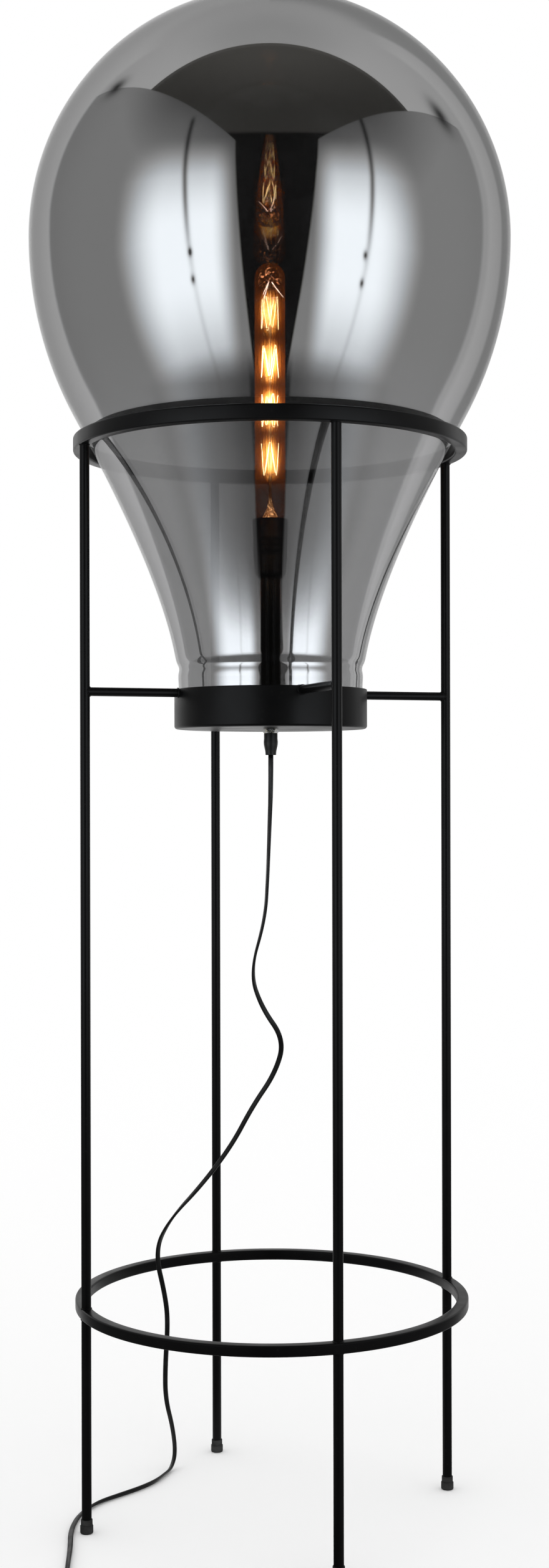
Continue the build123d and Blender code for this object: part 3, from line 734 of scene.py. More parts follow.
lip = arc(NECK_R - LIP_ROUND, LIP_Z + LIP_ROUND, LIP_ROUND, 0, -90, 4)
lip += arc(NECK_R - GLASS_WALL + LIP_ROUND, LIP_Z + LIP_ROUND, LIP_ROUND, -90, -180, 4)
shade = lathe("blown_shade", glass_side(0) + lip + glass_side(GLASS_WALL)[::-1], 192, closed=False)
stand_for(shade, "glass_shade")
print("blown_shade faces", len(shade.data.polygons))

# %% [markdown]
# ### Smoke and mirror
# Such glass has a thin film of metal laid on it in a vacuum, thick at the top and thinning towards the neck.
# The film mirrors about a third of the light everywhere, but lets less and less through towards the top.
# A metal surface with a part of it see-through does just that: the see-through share grows downwards,
# while the metal's own colour is made lighter there, so that the mirror stays equally strong.

# %% Finish of the glass
FILM_LOW_M, FILM_HIGH_M = 1.10, 1.20
COVER_LOW, COVER_HIGH = 0.58, 0.76
MIRROR_LOW, MIRROR_HIGH = 0.51, 0.43
WAVE_SCALE, WAVE_MM = 7.0, 0.22


def smoke_and_mirror(s):
    z = s.parts(s.place())[2]
    film = s.smooth(z, FILM_LOW_M, FILM_HIGH_M)
    return s.surface(
        Base_Color=s.mix(film, (MIRROR_LOW, MIRROR_LOW, MIRROR_LOW * 1.01, 1), grey(MIRROR_HIGH)),
        Metallic=1.0, Roughness=0.006, Specular_Tint=grey(0.55),
        Alpha=COVER_LOW + (COVER_HIGH - COVER_LOW) * film,
        Normal=s.bump(s.noise(WAVE_SCALE, 1), WAVE_MM),
    )


dress(finish("smoked_glass", smoke_and_mirror), shade)
print("film from", COVER_LOW, "to", COVER_HIGH)

# %% [markdown]
# ## Rings and pan
# The ring that steadies the glass and the ring near the floor are bar bent round and welded, with its edges
# broken. The pan is a spun dish with a rolled bottom corner. All are bodies of rotation, so each is one
# small outline turned about the axis, with every rounding in it, because a black satin edge is seen
# only by the thin light that its rounding catches.

# %% Rings
RING_W, RING_ROUND = 13.0, 2.0
LOW_RING_W, LOW_RING_ROUND = 11.9, 1.8
ROUND_STEPS = 5


def bar_outline(inner, outer, low, high, corner):
    """A bar's section with rounded corners, going round once."""
    middles = ((outer - corner, low + corner, -90), (outer - corner, high - corner, 0),
               (inner + corner, high - corner, 90), (inner + corner, low + corner, 180))
    return [p for r, z, a in middles for p in arc(r, z, corner, a, a + 90, ROUND_STEPS)]


def bent_ring(name, node, width, corner):
    low, high = low_high(node)
    ring = lathe(name, bar_outline(high.x - width, high.x, low.z, high.z, corner), 192, sharp=40)
    return stand_for(ring, node)


upper_ring = bent_ring("steadying_ring", "upper_ring", RING_W, RING_ROUND)
lower_ring = bent_ring("floor_ring", "lower_ring", LOW_RING_W, LOW_RING_ROUND)
print("ring faces", len(upper_ring.data.polygons))

# %% Pan
PAN_WALL, PAN_CORNER, PAN_RIM = 2.0, 3.0, 0.8
PAN_HOLE_R = 5.1


def pan_outline():
    low, high = low_high("shade_pan")
    r, z0, z1 = high.x, low.z, high.z
    outside = [(PAN_HOLE_R, z0)] + arc(r - PAN_CORNER, z0 + PAN_CORNER, PAN_CORNER, -90, 0, 8)
    rim = arc(r - PAN_RIM, z1 - PAN_RIM, PAN_RIM, 0, 90, 5)
    rim += arc(r - PAN_WALL + PAN_RIM, z1 - PAN_RIM, PAN_RIM, 90, 180, 5)
    inside = arc(r - PAN_CORNER, z0 + PAN_CORNER, PAN_CORNER - PAN_WALL, 0, -90, 4)
    return outside + rim + inside + [(PAN_HOLE_R, z0 + PAN_WALL)]


pan = stand_for(lathe("dish", pan_outline(), 192, sharp=40), "shade_pan")
seat = refined("seat_ring")
print("pan radius", round(low_high("shade_pan")[1].x, 1))

# %% [markdown]
# ## Rods, spokes and welds
# The four rods and four short spokes are plain round bar, coped where they meet a round surface, and the
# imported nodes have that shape, so smooth copies of them serve. Every joint is welded, ground and coated:
# what shows is a small soft collar where the bars meet. One torus makes a collar, and on a spoke it is
# bent to follow the round rod that it sits on.

# %% Rods and spokes
SIDES = ("front", "right", "back", "left")
LEG_R, SPOKE_R = 5.0, 4.5
legs = [refined(f"leg_{side}") for side in SIDES]
spokes = [refined(f"spoke_{side}") for side in SIDES]


def middle_of(node):
    low, high = low_high(node)
    return (low + high) / 2


leg_spots = [middle_of(f"leg_{side}") for side in SIDES]
spoke_z = middle_of("spoke_left").z
ring_mid_r = math.hypot(leg_spots[0].x, leg_spots[0].y)
print("leg circle", round(ring_mid_r, 2), "spokes at", round(spoke_z, 1))

# %% Weld collars
WELD_R = 0.9


def collar(name, bar_r, at, turn=(0, 0, 0)):
    """A thin ring of weld round a bar; at is its middle in mm, turn its tilt and heading."""
    bpy.ops.object.select_all(action="DESELECT")
    bpy.ops.mesh.primitive_torus_add(
        major_radius=bar_r * MM, minor_radius=WELD_R * MM, major_segments=48, minor_segments=12,
        location=[c * MM for c in at], rotation=turn,
    )
    piece = bpy.context.object
    piece.name = piece.data.name = name
    bpy.ops.object.shade_smooth()
    bpy.ops.object.transform_apply(location=True, rotation=True, scale=True)
    return piece


def saddle(piece, spot, toward):
    """Bend a spoke's collar round the upright rod at spot; toward points from the rod to the pan."""
    across = Vector((-toward.y, toward.x, 0))
    for vertex in piece.data.vertices:
        aside = min(abs((vertex.co / MM - spot).dot(across)), LEG_R * 0.96)
        vertex.co -= toward * (LEG_R - math.sqrt(LEG_R**2 - aside**2)) * MM


welds = []
for side, spot in zip(SIDES, leg_spots):
    heading = math.atan2(spot.y, spot.x)
    outward = Vector((math.cos(heading), math.sin(heading), 0))
    under_ring = (spot.x, spot.y, low_high("upper_ring")[0].z)
    welds.append(collar(f"weld_under_ring_{side}", LEG_R, under_ring))
    for word, height in zip(("under", "over"), (c.z for c in low_high("lower_ring"))):
        welds.append(collar(f"weld_{word}_floor_ring_{side}", LEG_R, (spot.x, spot.y, height)))
    at_rod = Vector((spot.x, spot.y, spoke_z)) - outward * LEG_R
    welds.append(collar(f"weld_spoke_to_rod_{side}", SPOKE_R, at_rod, (0, math.pi / 2, heading)))
    saddle(welds[-1], Vector((spot.x, spot.y, spoke_z)), -outward)
    at_pan = outward * low_high("shade_pan")[1].x + Vector((0, 0, spoke_z))
    welds.append(collar(f"weld_spoke_to_pan_{side}", SPOKE_R, at_pan, (0, math.pi / 2, heading)))
for piece in welds:
    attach(piece, "root")
print("weld collars", len(welds))

# %% [markdown]
# ### Powder coat
# Black powder melts into a satin skin with a fine orange peel. Seen close it isn't one black: where the
# film is thin it is a little greyer and duller, and fine dust sits in the peel. All three come from
# noise read in the lamp's own coordinates, so that the pattern runs on from piece to piece.

# %% Finish of the frame
PEEL_SCALE, PEEL_MM = 950.0, 0.007
CLOUD_SCALE = 26.0


def powder_coat(s):
    at = s.place()
    clouds = s.noise(CLOUD_SCALE, 3, at)
    peel = s.noise(PEEL_SCALE, 2, at)
    dust = s.smooth(s.noise(PEEL_SCALE / 3, 4, at), 0.62, 0.78)
    shades = s.mix(clouds, (0.002, 0.002, 0.0022, 1), (0.0038, 0.0038, 0.004, 1))
    return s.surface(
        Base_Color=s.mix(dust * 0.35, shades, (0.014, 0.0135, 0.013, 1)),
        Roughness=s.smooth(clouds, 0.3, 0.7, 0.3, 0.38) + 0.15 * dust,
        Specular_IOR_Level=0.10,
        Normal=s.bump(peel, PEEL_MM),
    )


dress(finish("powder_coat", powder_coat), upper_ring, lower_ring, pan, *legs, *spokes, *welds)
print("coated pieces", 3 + len(legs) + len(spokes) + len(welds))

# %% [markdown]
# ## Feet
# Each rod ends in a moulded sleeve of dark grey plastic: a slim collar that grips the rod, a groove, and a
# stouter skirt with fine upright flutes. The sleeve is turned on the lathe; then every second column of the
# skirt is inset and sunk a little, which makes the flutes. It is modelled once and copied to four rods.

# %% One foot, copied
FOOT_BORE, FOOT_FLOOR = 5.05, 3.0
COLLAR_R, SKIRT_R = 5.95, 6.65
SKIRT_TOP, GROOVE = 8.0, 0.35
FOOT_CORNER = 1.4
FLUTES, FLUTE_DEPTH = 30, 0.25


def foot_outline():
    top = low_high("foot_left")[1].z
    skirt = [(0, 0)] + arc(SKIRT_R - FOOT_CORNER, FOOT_CORNER, FOOT_CORNER, -90, 0, 6)
    skirt += [(SKIRT_R, SKIRT_TOP - 1.6)] + arc(SKIRT_R - 0.6, SKIRT_TOP - 0.6, 0.6, 0, 90, 3)
    groove = [(COLLAR_R - GROOVE, SKIRT_TOP), (COLLAR_R - GROOVE, SKIRT_TOP + 0.7), (COLLAR_R, SKIRT_TOP + 1)]
    collar_top = arc(COLLAR_R - 0.4, top - 0.4, 0.4, 0, 90, 3)
    return skirt + groove + collar_top + [(FOOT_BORE, top), (FOOT_BORE, FOOT_FLOOR), (0, FOOT_FLOOR)]


def flute(piece):
    """Sink every second column of the skirt's straight part."""
    for face in piece.data.polygons:
        r = math.hypot(face.center.x, face.center.y) / MM
        column = round((math.degrees(math.atan2(face.center.y, face.center.x)) / 180 * FLUTES) - 0.5)
        upright = abs(face.normal.z) < 0.1 and r > SKIRT_R - 0.3
        face.select = upright and column % 2 == 0
    only(piece)
    bpy.ops.object.mode_set(mode="EDIT")
    bpy.ops.mesh.select_mode(type="FACE")
    bpy.ops.mesh.inset(thickness=0.12 * MM, depth=-FLUTE_DEPTH * MM, use_individual=True)
    bpy.ops.mesh.select_mode(type="VERT")
    bpy.ops.object.mode_set(mode="OBJECT")


def moved_copy(piece, name, by):
    """A copy with its own mesh, moved by so many millimetres."""
    mesh = piece.data.copy()
    mesh.transform(Matrix.Translation(Vector(by) * MM))
    copy = bpy.data.objects.new(name, mesh)
    bpy.context.scene.collection.objects.link(copy)
    return copy


pattern_foot = lathe("pattern_foot", foot_outline(), 2 * FLUTES, sharp=35, closed=False)
flute(pattern_foot)
feet = [
    stand_for(moved_copy(pattern_foot, f"fluted_foot_{side}", (spot.x, spot.y, 0)), f"foot_{side}")
    for side, spot in zip(SIDES, leg_spots)
]
bpy.data.objects.remove(pattern_foot)
print("foot faces", len(feet[0].data.polygons))

# %% Finish of the feet


def moulded(dark, light, rough, grain_mm, scale=1800.0):
    """A moulded plastic: a fine grain, and a skin that is a little worn and paler in places."""
    def build(s):
        at = s.place()
        worn = s.noise(60.0, 4, at)
        grain = s.noise(scale, 2, at)
        return s.surface(
            Base_Color=s.mix(s.smooth(worn, 0.35, 0.75), grey(dark), grey(light)),
            Roughness=s.smooth(worn, 0.3, 0.7, rough - 0.05, rough + 0.07),
            Specular_IOR_Level=0.3,
            Normal=s.bump(grain, grain_mm),
        )
    return build


dress(finish("foot_plastic", moulded(0.03, 0.055, 0.5, 0.02)), *feet)
print("feet", len(feet))

# %% [markdown]
# ## Gland and stem
# The cord comes out of a nylon grip under the pan. A bright zinc nut holds its threaded tube, and the same
# tube runs up inside a black stem to the lampholder. The grip is turned from its own outline, with the
# collar, the bulge and the taper that the photograph shows. Nuts, tube and stem are smooth copies.

# %% Gland
GRIP_TOP_R, GRIP_WAIST_R, GRIP_TIP_R = 7.1, 7.4, 5.6
GRIP_WAIST_UP, GRIP_SLOPE, GRIP_PULL = 14.0, 3.0, 6.0
GRIP_BORE, GRIP_TUBE_R, GRIP_TUBE_DEPTH = 2.8, 5.1, 11.7
GRIP_EDGE = 0.5


def grip_outline():
    low, high = low_high("cord_grip")
    exit_z, top = low.z, high.z
    waist = exit_z + GRIP_WAIST_UP
    taper = pulled((GRIP_WAIST_R, waist), (GRIP_WAIST_R, waist - GRIP_PULL),
                   (GRIP_TIP_R, exit_z + GRIP_PULL), (GRIP_TIP_R, exit_z + GRIP_EDGE), 14)
    outside = arc(GRIP_TOP_R - GRIP_EDGE, top - GRIP_EDGE, GRIP_EDGE, 90, 0, 4)
    outside += [(GRIP_TOP_R, waist + GRIP_SLOPE)] + taper
    outside += arc(GRIP_TIP_R - GRIP_EDGE, exit_z + GRIP_EDGE, GRIP_EDGE, 0, -90, 4)[1:]
    bore_top = top - GRIP_TUBE_DEPTH
    return outside + [(GRIP_BORE, exit_z), (GRIP_BORE, bore_top), (GRIP_TUBE_R, bore_top), (GRIP_TUBE_R, top)]


grip = stand_for(lathe("nylon_grip", grip_outline(), 64), "cord_grip")
bright_bits = [refined(node) for node in ("gland_locknut", "inner_locknut", "grip_screw", "terminal_screws")]
thread_tube = refined("threaded_tube")
stem = refined("stem_tube")
print("grip faces", len(grip.data.polygons))

# %% [markdown]
# ### Zinc, paint and nylon
# Zinc plate is bright with a faint yellow and blue tint where it was passivated. The tube's thread is
# a pattern: a helix is a wave in the height, shifted by one pitch for each turn of the angle.

# %% Finishes of gland and stem
THREAD_PITCH_MM, THREAD_DEPTH_MM = 1.0, 0.35


def zinc(s, normal=None):
    at = s.place()
    tint = s.noise(320.0, 2, at)
    colour = s.mix(s.smooth(tint, 0.4, 0.65), (0.72, 0.73, 0.76, 1), (0.78, 0.75, 0.62, 1))
    rough = s.smooth(s.noise(1500.0, 2, at), 0.3, 0.7, 0.2, 0.34)
    return s.surface(Base_Color=colour, Metallic=1.0, Roughness=rough,
                     Normal=normal or s.bump(s.noise(2600.0, 1, at), 0.01))


def thread_wave(s, pitch_mm):
    """Height of a thread about the Z axis, from 0 at its root to 1 at its crest."""
    x, y, z = s.parts(s.place())
    turns = z / (pitch_mm * MM) - s.math("ARCTAN2", y, x) / (2 * math.pi)
    return s.math("PINGPONG", turns, 0.5) * 2


def threaded_zinc(s):
    return zinc(s, s.bump(thread_wave(s, THREAD_PITCH_MM), THREAD_DEPTH_MM))


def satin_paint(s):
    at = s.place()
    clouds = s.noise(45.0, 3, at)
    return s.surface(
        Base_Color=s.mix(clouds, grey(0.003), grey(0.006)), Roughness=s.smooth(clouds, 0.3, 0.7, 0.14, 0.22),
        Specular_IOR_Level=0.35, Normal=s.bump(s.noise(700.0, 2, at), 0.01),
    )


dress(finish("zinc_plate", zinc), *bright_bits)
dress(finish("cut_thread", threaded_zinc), thread_tube)
dress(finish("stem_paint", satin_paint), stem)
dress(finish("nylon", moulded(0.003, 0.006, 0.42, 0.015)), grip)
print("gland dressed")

# %% [markdown]
# ## Lampholder
# Inside the neck stands a painted metal lampholder: a cup that screws on the tube, and a sleeve with three
# rolled grooves and a curled upper edge. Within them are a ceramic block, brass contacts and a threaded
# shell. They sit in the dark behind smoked glass, yet the sleeve is what hides the bulb's cap from view.

# %% Holder
SLEEVE_WALL, SLEEVE_FLARE = 1.4, 1.0
GROOVE_DEPTH, GROOVE_H, GROOVES_UP = 0.45, 2.4, (8.0, 14.0, 20.0)


def sleeve_outline():
    low, high = low_high("lampholder_sleeve")
    top_r = high.x
    low_r, tall = top_r - SLEEVE_FLARE, high.z - low.z

    def skin(up):
        return low_r + SLEEVE_FLARE * up / tall

    points = [(low_r, low.z)]
    for up in GROOVES_UP:
        for k in range(7):
            height = up + GROOVE_H * k / 6
            sunk = GROOVE_DEPTH * math.sin(math.pi * k / 6) ** 2
            points.append((skin(height) - sunk, low.z + height))
    points.append((skin(tall) - 0.05, high.z - SLEEVE_WALL))
    points += arc(top_r - SLEEVE_WALL / 2, high.z - SLEEVE_WALL / 2, SLEEVE_WALL / 2, 0, 180, 8)
    return points + [(low_r - SLEEVE_WALL, low.z)]


sleeve = stand_for(lathe("grooved_sleeve", sleeve_outline(), 96, sharp=50), "lampholder_sleeve")
cup = refined("lampholder_cap", sharp=40)
block = refined("terminal_block")
brass_bits = [refined("screw_shell"), refined("centre_contact")]
print("sleeve faces", len(sleeve.data.polygons))

# %% Finishes of the holder


def glazed_ceramic(s):
    at = s.place()
    specks = s.smooth(s.noise(900.0, 2, at), 0.68, 0.74)
    colour = s.mix(specks, (0.80, 0.79, 0.75, 1), (0.45, 0.40, 0.34, 1))
    return s.surface(Base_Color=colour, Roughness=0.18, Normal=s.bump(s.noise(120.0, 2, at), 0.03))


def brass(s, normal=None):
    at = s.place()
    tarnish = s.smooth(s.noise(180.0, 4, at), 0.45, 0.75)
    colour = s.mix(tarnish, (0.78, 0.60, 0.30, 1), (0.42, 0.29, 0.14, 1))
    return s.surface(Base_Color=colour, Metallic=1.0, Roughness=0.25 + 0.25 * tarnish,
                     Normal=normal or s.bump(s.noise(2200.0, 1, at), 0.008))


dress(finish("holder_paint", satin_paint), sleeve, cup)
dress(finish("glazed_ceramic", glazed_ceramic), block)
dress(finish("contact_brass", brass), *brass_bits)
print("holder dressed")

# %% [markdown]
# ## The bulb
# The long tube is thin amber glass with a domed end. Inside, a clear glass flare is sealed to the neck and
# drawn out into a thin rod, and four cages of carbon thread hang on hooks along it, with three springy
# wires at the top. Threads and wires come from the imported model; tube and flare are turned here.

# %% Bulb glass and stem
BULB_WALL, BULB_CAP_R, BULB_CAP_WALL, SLIP = 0.8, 13.1, 0.5, 0.1
BULB_SHOULDER, GLASS_IN_CAP = 12.0, 10.0
ROD_R, STEM_WALL, STEM_FLARE = 1.5, 0.8, 40.0
bulb_low, bulb_high = low_high("bulb_glass")
BULB_R = bulb_high.x
BULB_NECK_R = BULB_CAP_R - BULB_CAP_WALL - SLIP
CAP_TOP_Z = bulb_low.z + GLASS_IN_CAP


def bulb_side(inset):
    """One side of the bulb's wall from its top down to its lower end in the cap."""
    neck, body = BULB_NECK_R - inset, BULB_R - inset
    full, half_way = CAP_TOP_Z + BULB_SHOULDER, CAP_TOP_Z + BULB_SHOULDER / 2
    dome = arc(0, bulb_high.z - BULB_R, body, 90, 0, 20)
    shoulder = pulled((body, full), (body, half_way), (neck, half_way), (neck, CAP_TOP_Z), 12)
    return dome + shoulder + [(neck, bulb_low.z)]


def stem_outline():
    """The flare and its rod, going down the outside and back up inside the flare."""
    low, rod_top = (corner.z for corner in low_high("bulb_stem"))
    foot_r = BULB_NECK_R - BULB_WALL - 0.05
    middle, top = low + STEM_FLARE / 2, low + STEM_FLARE
    outside = pulled((ROD_R, top), (ROD_R, middle), (foot_r, middle), (foot_r, low), 20)
    inside = pulled((foot_r - STEM_WALL, low), (foot_r - STEM_WALL, low + STEM_FLARE / 3),
                    (STEM_WALL, middle), (0, top - STEM_FLARE / 4), 16)
    tip = arc(0, rod_top - ROD_R, ROD_R, 90, 0, 6)
    return tip + outside + inside


bulb_wall = bulb_side(0) + bulb_side(BULB_WALL)[::-1]
bulb = stand_for(lathe("amber_tube", bulb_wall, 96, closed=False), "bulb_glass")
stem_glass = stand_for(lathe("glass_flare", stem_outline(), 48, closed=False), "bulb_stem")
cap_bits = [refined("bulb_cap"), refined("bulb_contact")]
insulator = refined("bulb_insulator")
print("bulb faces", len(bulb.data.polygons), len(stem_glass.data.polygons))

# %% [markdown]
# ### Light from the threads
# The threads glow orange-white, and the amber tube round each cage fills with their light. Nothing in a
# render scatters light in such thin glass, so the tube gives off the light itself. A heat value is one in
# the middle of a cage and falls off up, down and towards the tube's sides, which layer weight tells. A ramp
# turns heat into colour, from near white over orange to a deep red-brown, and gives each cage the shape
# of a flame. The shade's film is denser higher up, so the upper cages are given more light.

# %% Where the light is
CAGES, CAGE_H_MM, STRAND_MM = 4, 32.0, 0.5
threads_low, threads_high = low_high("bulb_filaments")
CAGE_PITCH = (threads_high.z - threads_low.z - CAGE_H_MM - STRAND_MM) / (CAGES - 1)
FIRST_CAGE_Z = threads_low.z + (CAGE_H_MM + STRAND_MM) / 2
LAST_CAGE_Z = FIRST_CAGE_Z + CAGE_PITCH * (CAGES - 1)
FLAME_HALF_H, FLAME_HALF_W = 17.5, 0.52
GLOW_FULL, GLOW_END = 19, 25
STREAKS = 700.0
FILM_GAIN = 3.1


def cage_heat(s, z):
    """One at the middle height of each cage, near zero half-way between two and past the last ones."""
    away = s.math("PINGPONG", (z - FIRST_CAGE_Z * MM) / (CAGE_PITCH * MM), 0.5) * (CAGE_PITCH / FLAME_HALF_H)
    square = away * away
    range_mask = s.smooth(z, (FIRST_CAGE_Z - GLOW_END) * MM, (FIRST_CAGE_Z - GLOW_FULL) * MM)
    range_mask = range_mask * s.smooth(z, (LAST_CAGE_Z + GLOW_END) * MM, (LAST_CAGE_Z + GLOW_FULL) * MM)
    return s.math("EXPONENT", -square * (0.5 + 0.5 * square)) * range_mask


def film_gain(s, z):
    """How much more light the upper part needs to show through the denser film, at most one."""
    return s.smooth(z, FILM_LOW_M, FILM_HIGH_M, 1 / FILM_GAIN, 1.0)


print("cages at", [round(FIRST_CAGE_Z + k * CAGE_PITCH, 1) for k in range(CAGES)])

# %% Finishes of the bulb
TUBE_GLOW, THREAD_GLOW, STEM_GLOW, WIRE_GLOW = 48.0, 110.0, 10.0, 60.0
CROWN_GLINT_SPAN, TOP_WIRE_SPAN = (22, 34), (14, 20)
FOOT_SPAN, FOOT_LEFT, CONE_SPAN = (30, 44), 0.25, (34, 12)
CAP_PITCH_MM, CAP_THREAD_DEPTH_MM = 3.6, 0.8


def over(start_z, span):
    """A span of heights in mm over a level, as two heights in metres."""
    return [(start_z + up) * MM for up in span]


def amber_tube(s):
    at = s.place()
    x, y, z = s.parts(at)
    edge = s.out("ShaderNodeLayerWeight", inputs={"Blend": 0.5}, socket="Facing")
    aside = edge * (2 - edge) / FLAME_HALF_W**2
    upright = s.out("ShaderNodeCombineXYZ", inputs={0: x, 1: y, 2: z * 0.06})
    streak = s.smooth(s.noise(STREAKS, 2, upright), 0.38, 0.62, 0.5, 1.15)
    heat = cage_heat(s, z) * s.math("EXPONENT", -aside) * streak
    flame = s.out("ShaderNodeValToRGB", {"stops": (
        (0.0, (0.010, 0.0025, 0.0006, 1)), (0.10, (0.05, 0.011, 0.002, 1)), (0.28, (0.26, 0.075, 0.010, 1)),
        (0.50, (0.75, 0.30, 0.045, 1)), (0.72, (1.0, 0.58, 0.15, 1)), (0.95, (1.0, 0.82, 0.42, 1)),
    )}, {"Fac": heat})
    # Painted glints: warm flecks of painted highlight on the dome above the last cage, where it faces the
    # view.
    painted_glint = s.smooth(s.noise(330.0, 3, at), 0.60, 0.66) * s.smooth(edge, 0.5, 0.1)
    crown_glints = s.smooth(z, *over(LAST_CAGE_Z, CROWN_GLINT_SPAN)) * painted_glint
    light = s.mix(crown_glints, flame, (0.7, 0.26, 0.11, 1))
    near = s.smooth(z, *over(CAP_TOP_Z, FOOT_SPAN), FOOT_LEFT, 1.0)
    light = s.mix(film_gain(s, z) * near, grey(0.0), light)
    return s.surface(
        Base_Color=(0.20, 0.075, 0.02, 1), Roughness=0.05, Alpha=0.22 + 0.25 * edge,
        Emission_Color=light, Emission_Strength=TUBE_GLOW,
    )


def glowing_thread(s):
    z = s.parts(s.place())[2]
    hot = s.mix(film_gain(s, z) * cage_heat(s, z), grey(0.0), (1.0, 0.72, 0.34, 1))
    return s.surface(Base_Color=(0.05, 0.03, 0.02, 1), Roughness=0.6,
                     Emission_Color=hot, Emission_Strength=THREAD_GLOW)


def lit_glass(s):
    """Clear glass with painted light: a warm glow strongest beside the cages, and painted glints on its cone
    above the cap.
    """
    at = s.place()
    z = s.parts(at)[2]
    # Painted glints: warm sparkles painted into a dim warm glow on the cone just above the cap.
    painted_sparkle = s.smooth(s.noise(420.0, 3, at), 0.54, 0.60)
    cone = s.smooth(z, *over(CAP_TOP_Z, CONE_SPAN))
    warm = s.mix(painted_sparkle, (0.10, 0.024, 0.004, 1), (1.0, 0.55, 0.25, 1))
    light = s.mix(cage_heat(s, z) * film_gain(s, z), s.mix(cone, grey(0.0), warm), (1.0, 0.75, 0.35, 1))
    return s.surface(Base_Color=(0.8, 0.7, 0.55, 1), Roughness=0.05, Alpha=0.35,
                     Emission_Color=light, Emission_Strength=STEM_GLOW)


def dull_wire(s):
    """Wire that stays cool by itself and catches the threads' light, most at the springy top wires."""
    z = s.parts(s.place())[2]
    top = s.smooth(z, *over(LAST_CAGE_Z, TOP_WIRE_SPAN))
    catch = s.mix(top, (0.02, 0.007, 0.003, 1), (0.80, 0.55, 0.44, 1))
    shine = s.mix(film_gain(s, z), grey(0.0), catch)
    return s.surface(Base_Color=(0.42, 0.38, 0.35, 1), Metallic=1.0, Roughness=0.35,
                     Emission_Color=shine, Emission_Strength=WIRE_GLOW)


def cap_thread(s):
    return brass(s, s.bump(thread_wave(s, CAP_PITCH_MM), CAP_THREAD_DEPTH_MM))


def black_glass(s):
    tone = s.noise(300.0, 2)
    return s.surface(Base_Color=s.mix(tone, (0.01, 0.008, 0.012, 1), (0.03, 0.02, 0.035, 1)), Roughness=0.12)


dress(finish("amber_glass", amber_tube), bulb)
dress(finish("carbon_thread", glowing_thread), nodes["bulb_filaments"])
dress(finish("clear_glass", lit_glass), stem_glass)
dress(finish("hook_wire", dull_wire), nodes["bulb_supports"])
dress(finish("bulb_cap_brass", cap_thread), *cap_bits)
dress(finish("black_glass", black_glass), insulator)
print("bulb dressed")

# %% [markdown]
# ## Cord, seat and floor fittings
# The flex has a soft vinyl skin with faint lines along it, from the die that it was drawn through. The soft
# ring in the pan is silicone. The foot switch and the plug are moulded in black: the switch gets a dished
# button with two turned rings, the plug gets grip ribs, and its pins wear black sleeves near the body.

# %% Vinyl and silicone


def vinyl(s):
    around, along, _ = s.parts(s.out("ShaderNodeUVMap", {"uv_map": "flex"}))
    lines = s.math("SINE", around * (2 * math.pi * 12))
    scuff = s.noise(90.0, 4)
    ripple = s.math("SINE", along * 900.0 + 6 * scuff)
    return s.surface(
        Base_Color=s.mix(s.smooth(scuff, 0.45, 0.75), grey(0.003), grey(0.008)),
        Roughness=s.smooth(scuff, 0.3, 0.7, 0.36, 0.5), Specular_IOR_Level=0.3,
        Normal=s.bump(lines * 0.6 + ripple * 0.4, 0.02),
    )


dress(finish("vinyl_skin", vinyl), cord_drop, cord_lead)
dress(finish("cord_core", moulded(0.008, 0.015, 0.45, 0.01)), nodes["inner_flex"])
dress(finish("silicone", moulded(0.012, 0.022, 0.6, 0.01)), seat)
print("cord and seat dressed")

# %% Foot switch and plug
BUTTON_EDGE, DISH_MM = 1.6, 0.9


def button_outline():
    low, high = low_high("switch_button")
    r, top = (high.x - low.x) / 2, high.z
    dish = [(0, top - DISH_MM), (2.2, top - DISH_MM * 0.93), (4.4, top - DISH_MM * 0.6)]
    rings = []
    for middle in (5.2, 6.2):
        rings += [(middle - 0.3, top - 0.28), (middle, top - 0.55), (middle + 0.3, top - 0.22)]
    edge = arc(r - BUTTON_EDGE, top - BUTTON_EDGE, BUTTON_EDGE, 90, 0, 6)
    return dish + rings + edge + [(r, low.z), (0, low.z)]


turned_button = lathe("turned_button", button_outline(), 64, sharp=50, closed=False)
at_switch = middle_of("switch_button")
button = stand_for(moved_copy(turned_button, "dished_button", (at_switch.x, at_switch.y, 0)), "switch_button")
bpy.data.objects.remove(turned_button)
switch_case = [refined("switch_base", 40), refined("switch_cover", 40)]
plug = refined("plug_body", 40)
pins = refined("plug_pins")
print("button faces", len(button.data.polygons))

# %% Grip ribs on the plug
RIB_COUNT, RIB_PITCH, RIB_W, RIB_UP, RIB_ROUND = 5, 3.2, 1.3, 0.45, 0.35
FIRST_RIB_IN, RIB_LENGTH, RIB_GROWTH = 26, 11.0, 1.7


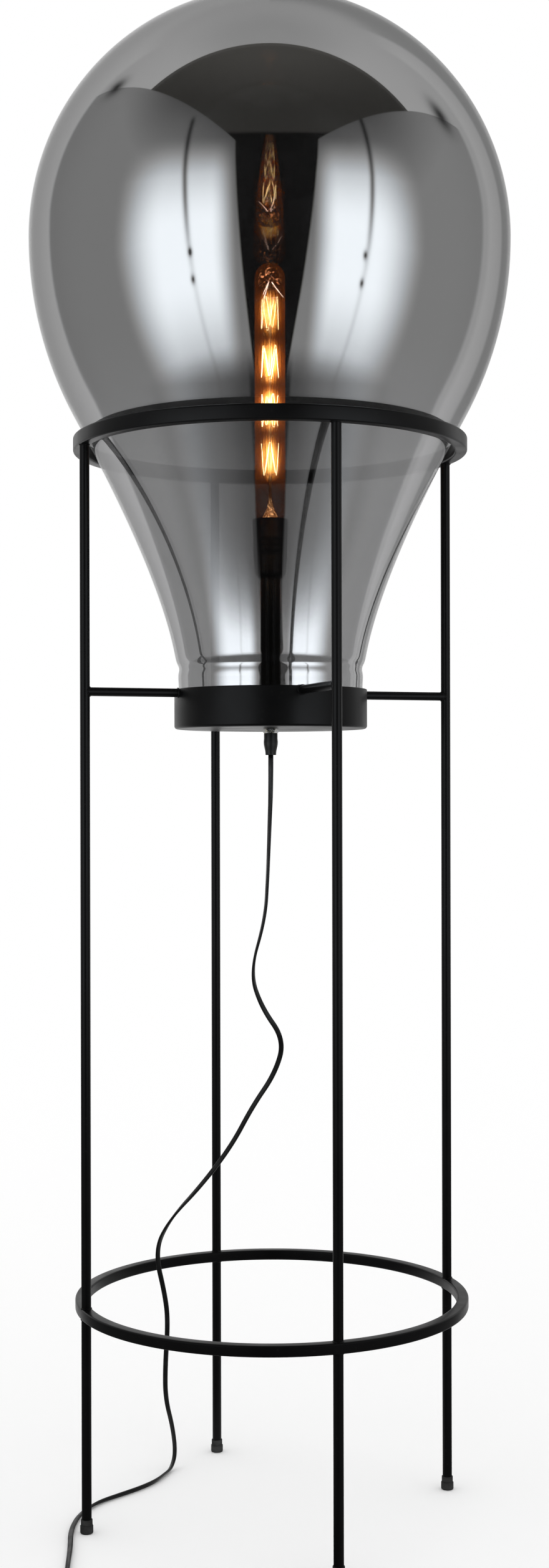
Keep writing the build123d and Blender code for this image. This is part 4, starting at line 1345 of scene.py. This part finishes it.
def plug_ribs():
    """Rounded bars across the upper side of the plug, where fingers pull."""
    high = low_high("plug_body")[1]
    ribs = []
    for k in range(RIB_COUNT):
        x = high.x - FIRST_RIB_IN + k * RIB_PITCH
        length = RIB_LENGTH + k * RIB_GROWTH
        bpy.ops.object.select_all(action="DESELECT")
        bpy.ops.mesh.primitive_cube_add(size=1, location=(x * MM, PLUG_Y * MM, high.z * MM))
        rib = bpy.context.object
        rib.name = rib.data.name = f"plug_rib_{k}"
        rib.scale = (RIB_W * MM, length * MM, 2 * RIB_UP * MM)
        bpy.ops.object.transform_apply(location=True, rotation=True, scale=True)
        bpy.ops.object.mode_set(mode="EDIT")
        bpy.ops.mesh.select_all(action="SELECT")
        bpy.ops.mesh.bevel(offset=RIB_ROUND * MM, segments=3, affect="EDGES")
        bpy.ops.object.mode_set(mode="OBJECT")
        bpy.ops.object.shade_smooth_by_angle(angle=math.radians(40))
        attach(rib, "root")
        ribs.append(rib)
    return ribs


ribs = plug_ribs()
print("ribs", len(ribs))

# %% Finishes of switch and plug
PIN_SLEEVE_MM = 10.0


def sleeved_pin(s):
    """Nickel towards the tip, a black plastic sleeve towards the plug."""
    at = s.place()
    x = s.parts(at)[0]
    start = low_high("plug_pins")[0].x
    bare = s.smooth(x, (start + PIN_SLEEVE_MM - 0.1) * MM, (start + PIN_SLEEVE_MM + 0.1) * MM)
    wear = s.smooth(s.noise(700.0, 3, at), 0.5, 0.7)
    nickel = s.mix(wear, (0.76, 0.74, 0.70, 1), (0.66, 0.60, 0.50, 1))
    return s.surface(Base_Color=s.mix(bare, grey(0.012), nickel), Metallic=bare,
                     Roughness=0.42 - 0.2 * bare + 0.08 * wear)


case_plastic = finish("case_plastic", moulded(0.005, 0.012, 0.5, 0.03, 1200.0))
dress(case_plastic, *switch_case)
dress(finish("plug_plastic", moulded(0.005, 0.011, 0.45, 0.02, 1500.0)), plug, *ribs)
dress(finish("button_plastic", moulded(0.03, 0.05, 0.38, 0.008, 2000.0)), button)
dress(finish("sleeved_nickel", sleeved_pin), pins)
print("switch and plug dressed")

# %% Lengths of the two cords
round(line_length(drop_line), 3)
tuple(c * MM for c in lead_route[0])
round(line_length(lead_line), 3)
print("declared", round(line_length(drop_line) + line_length(lead_line), 3), "m of cord")
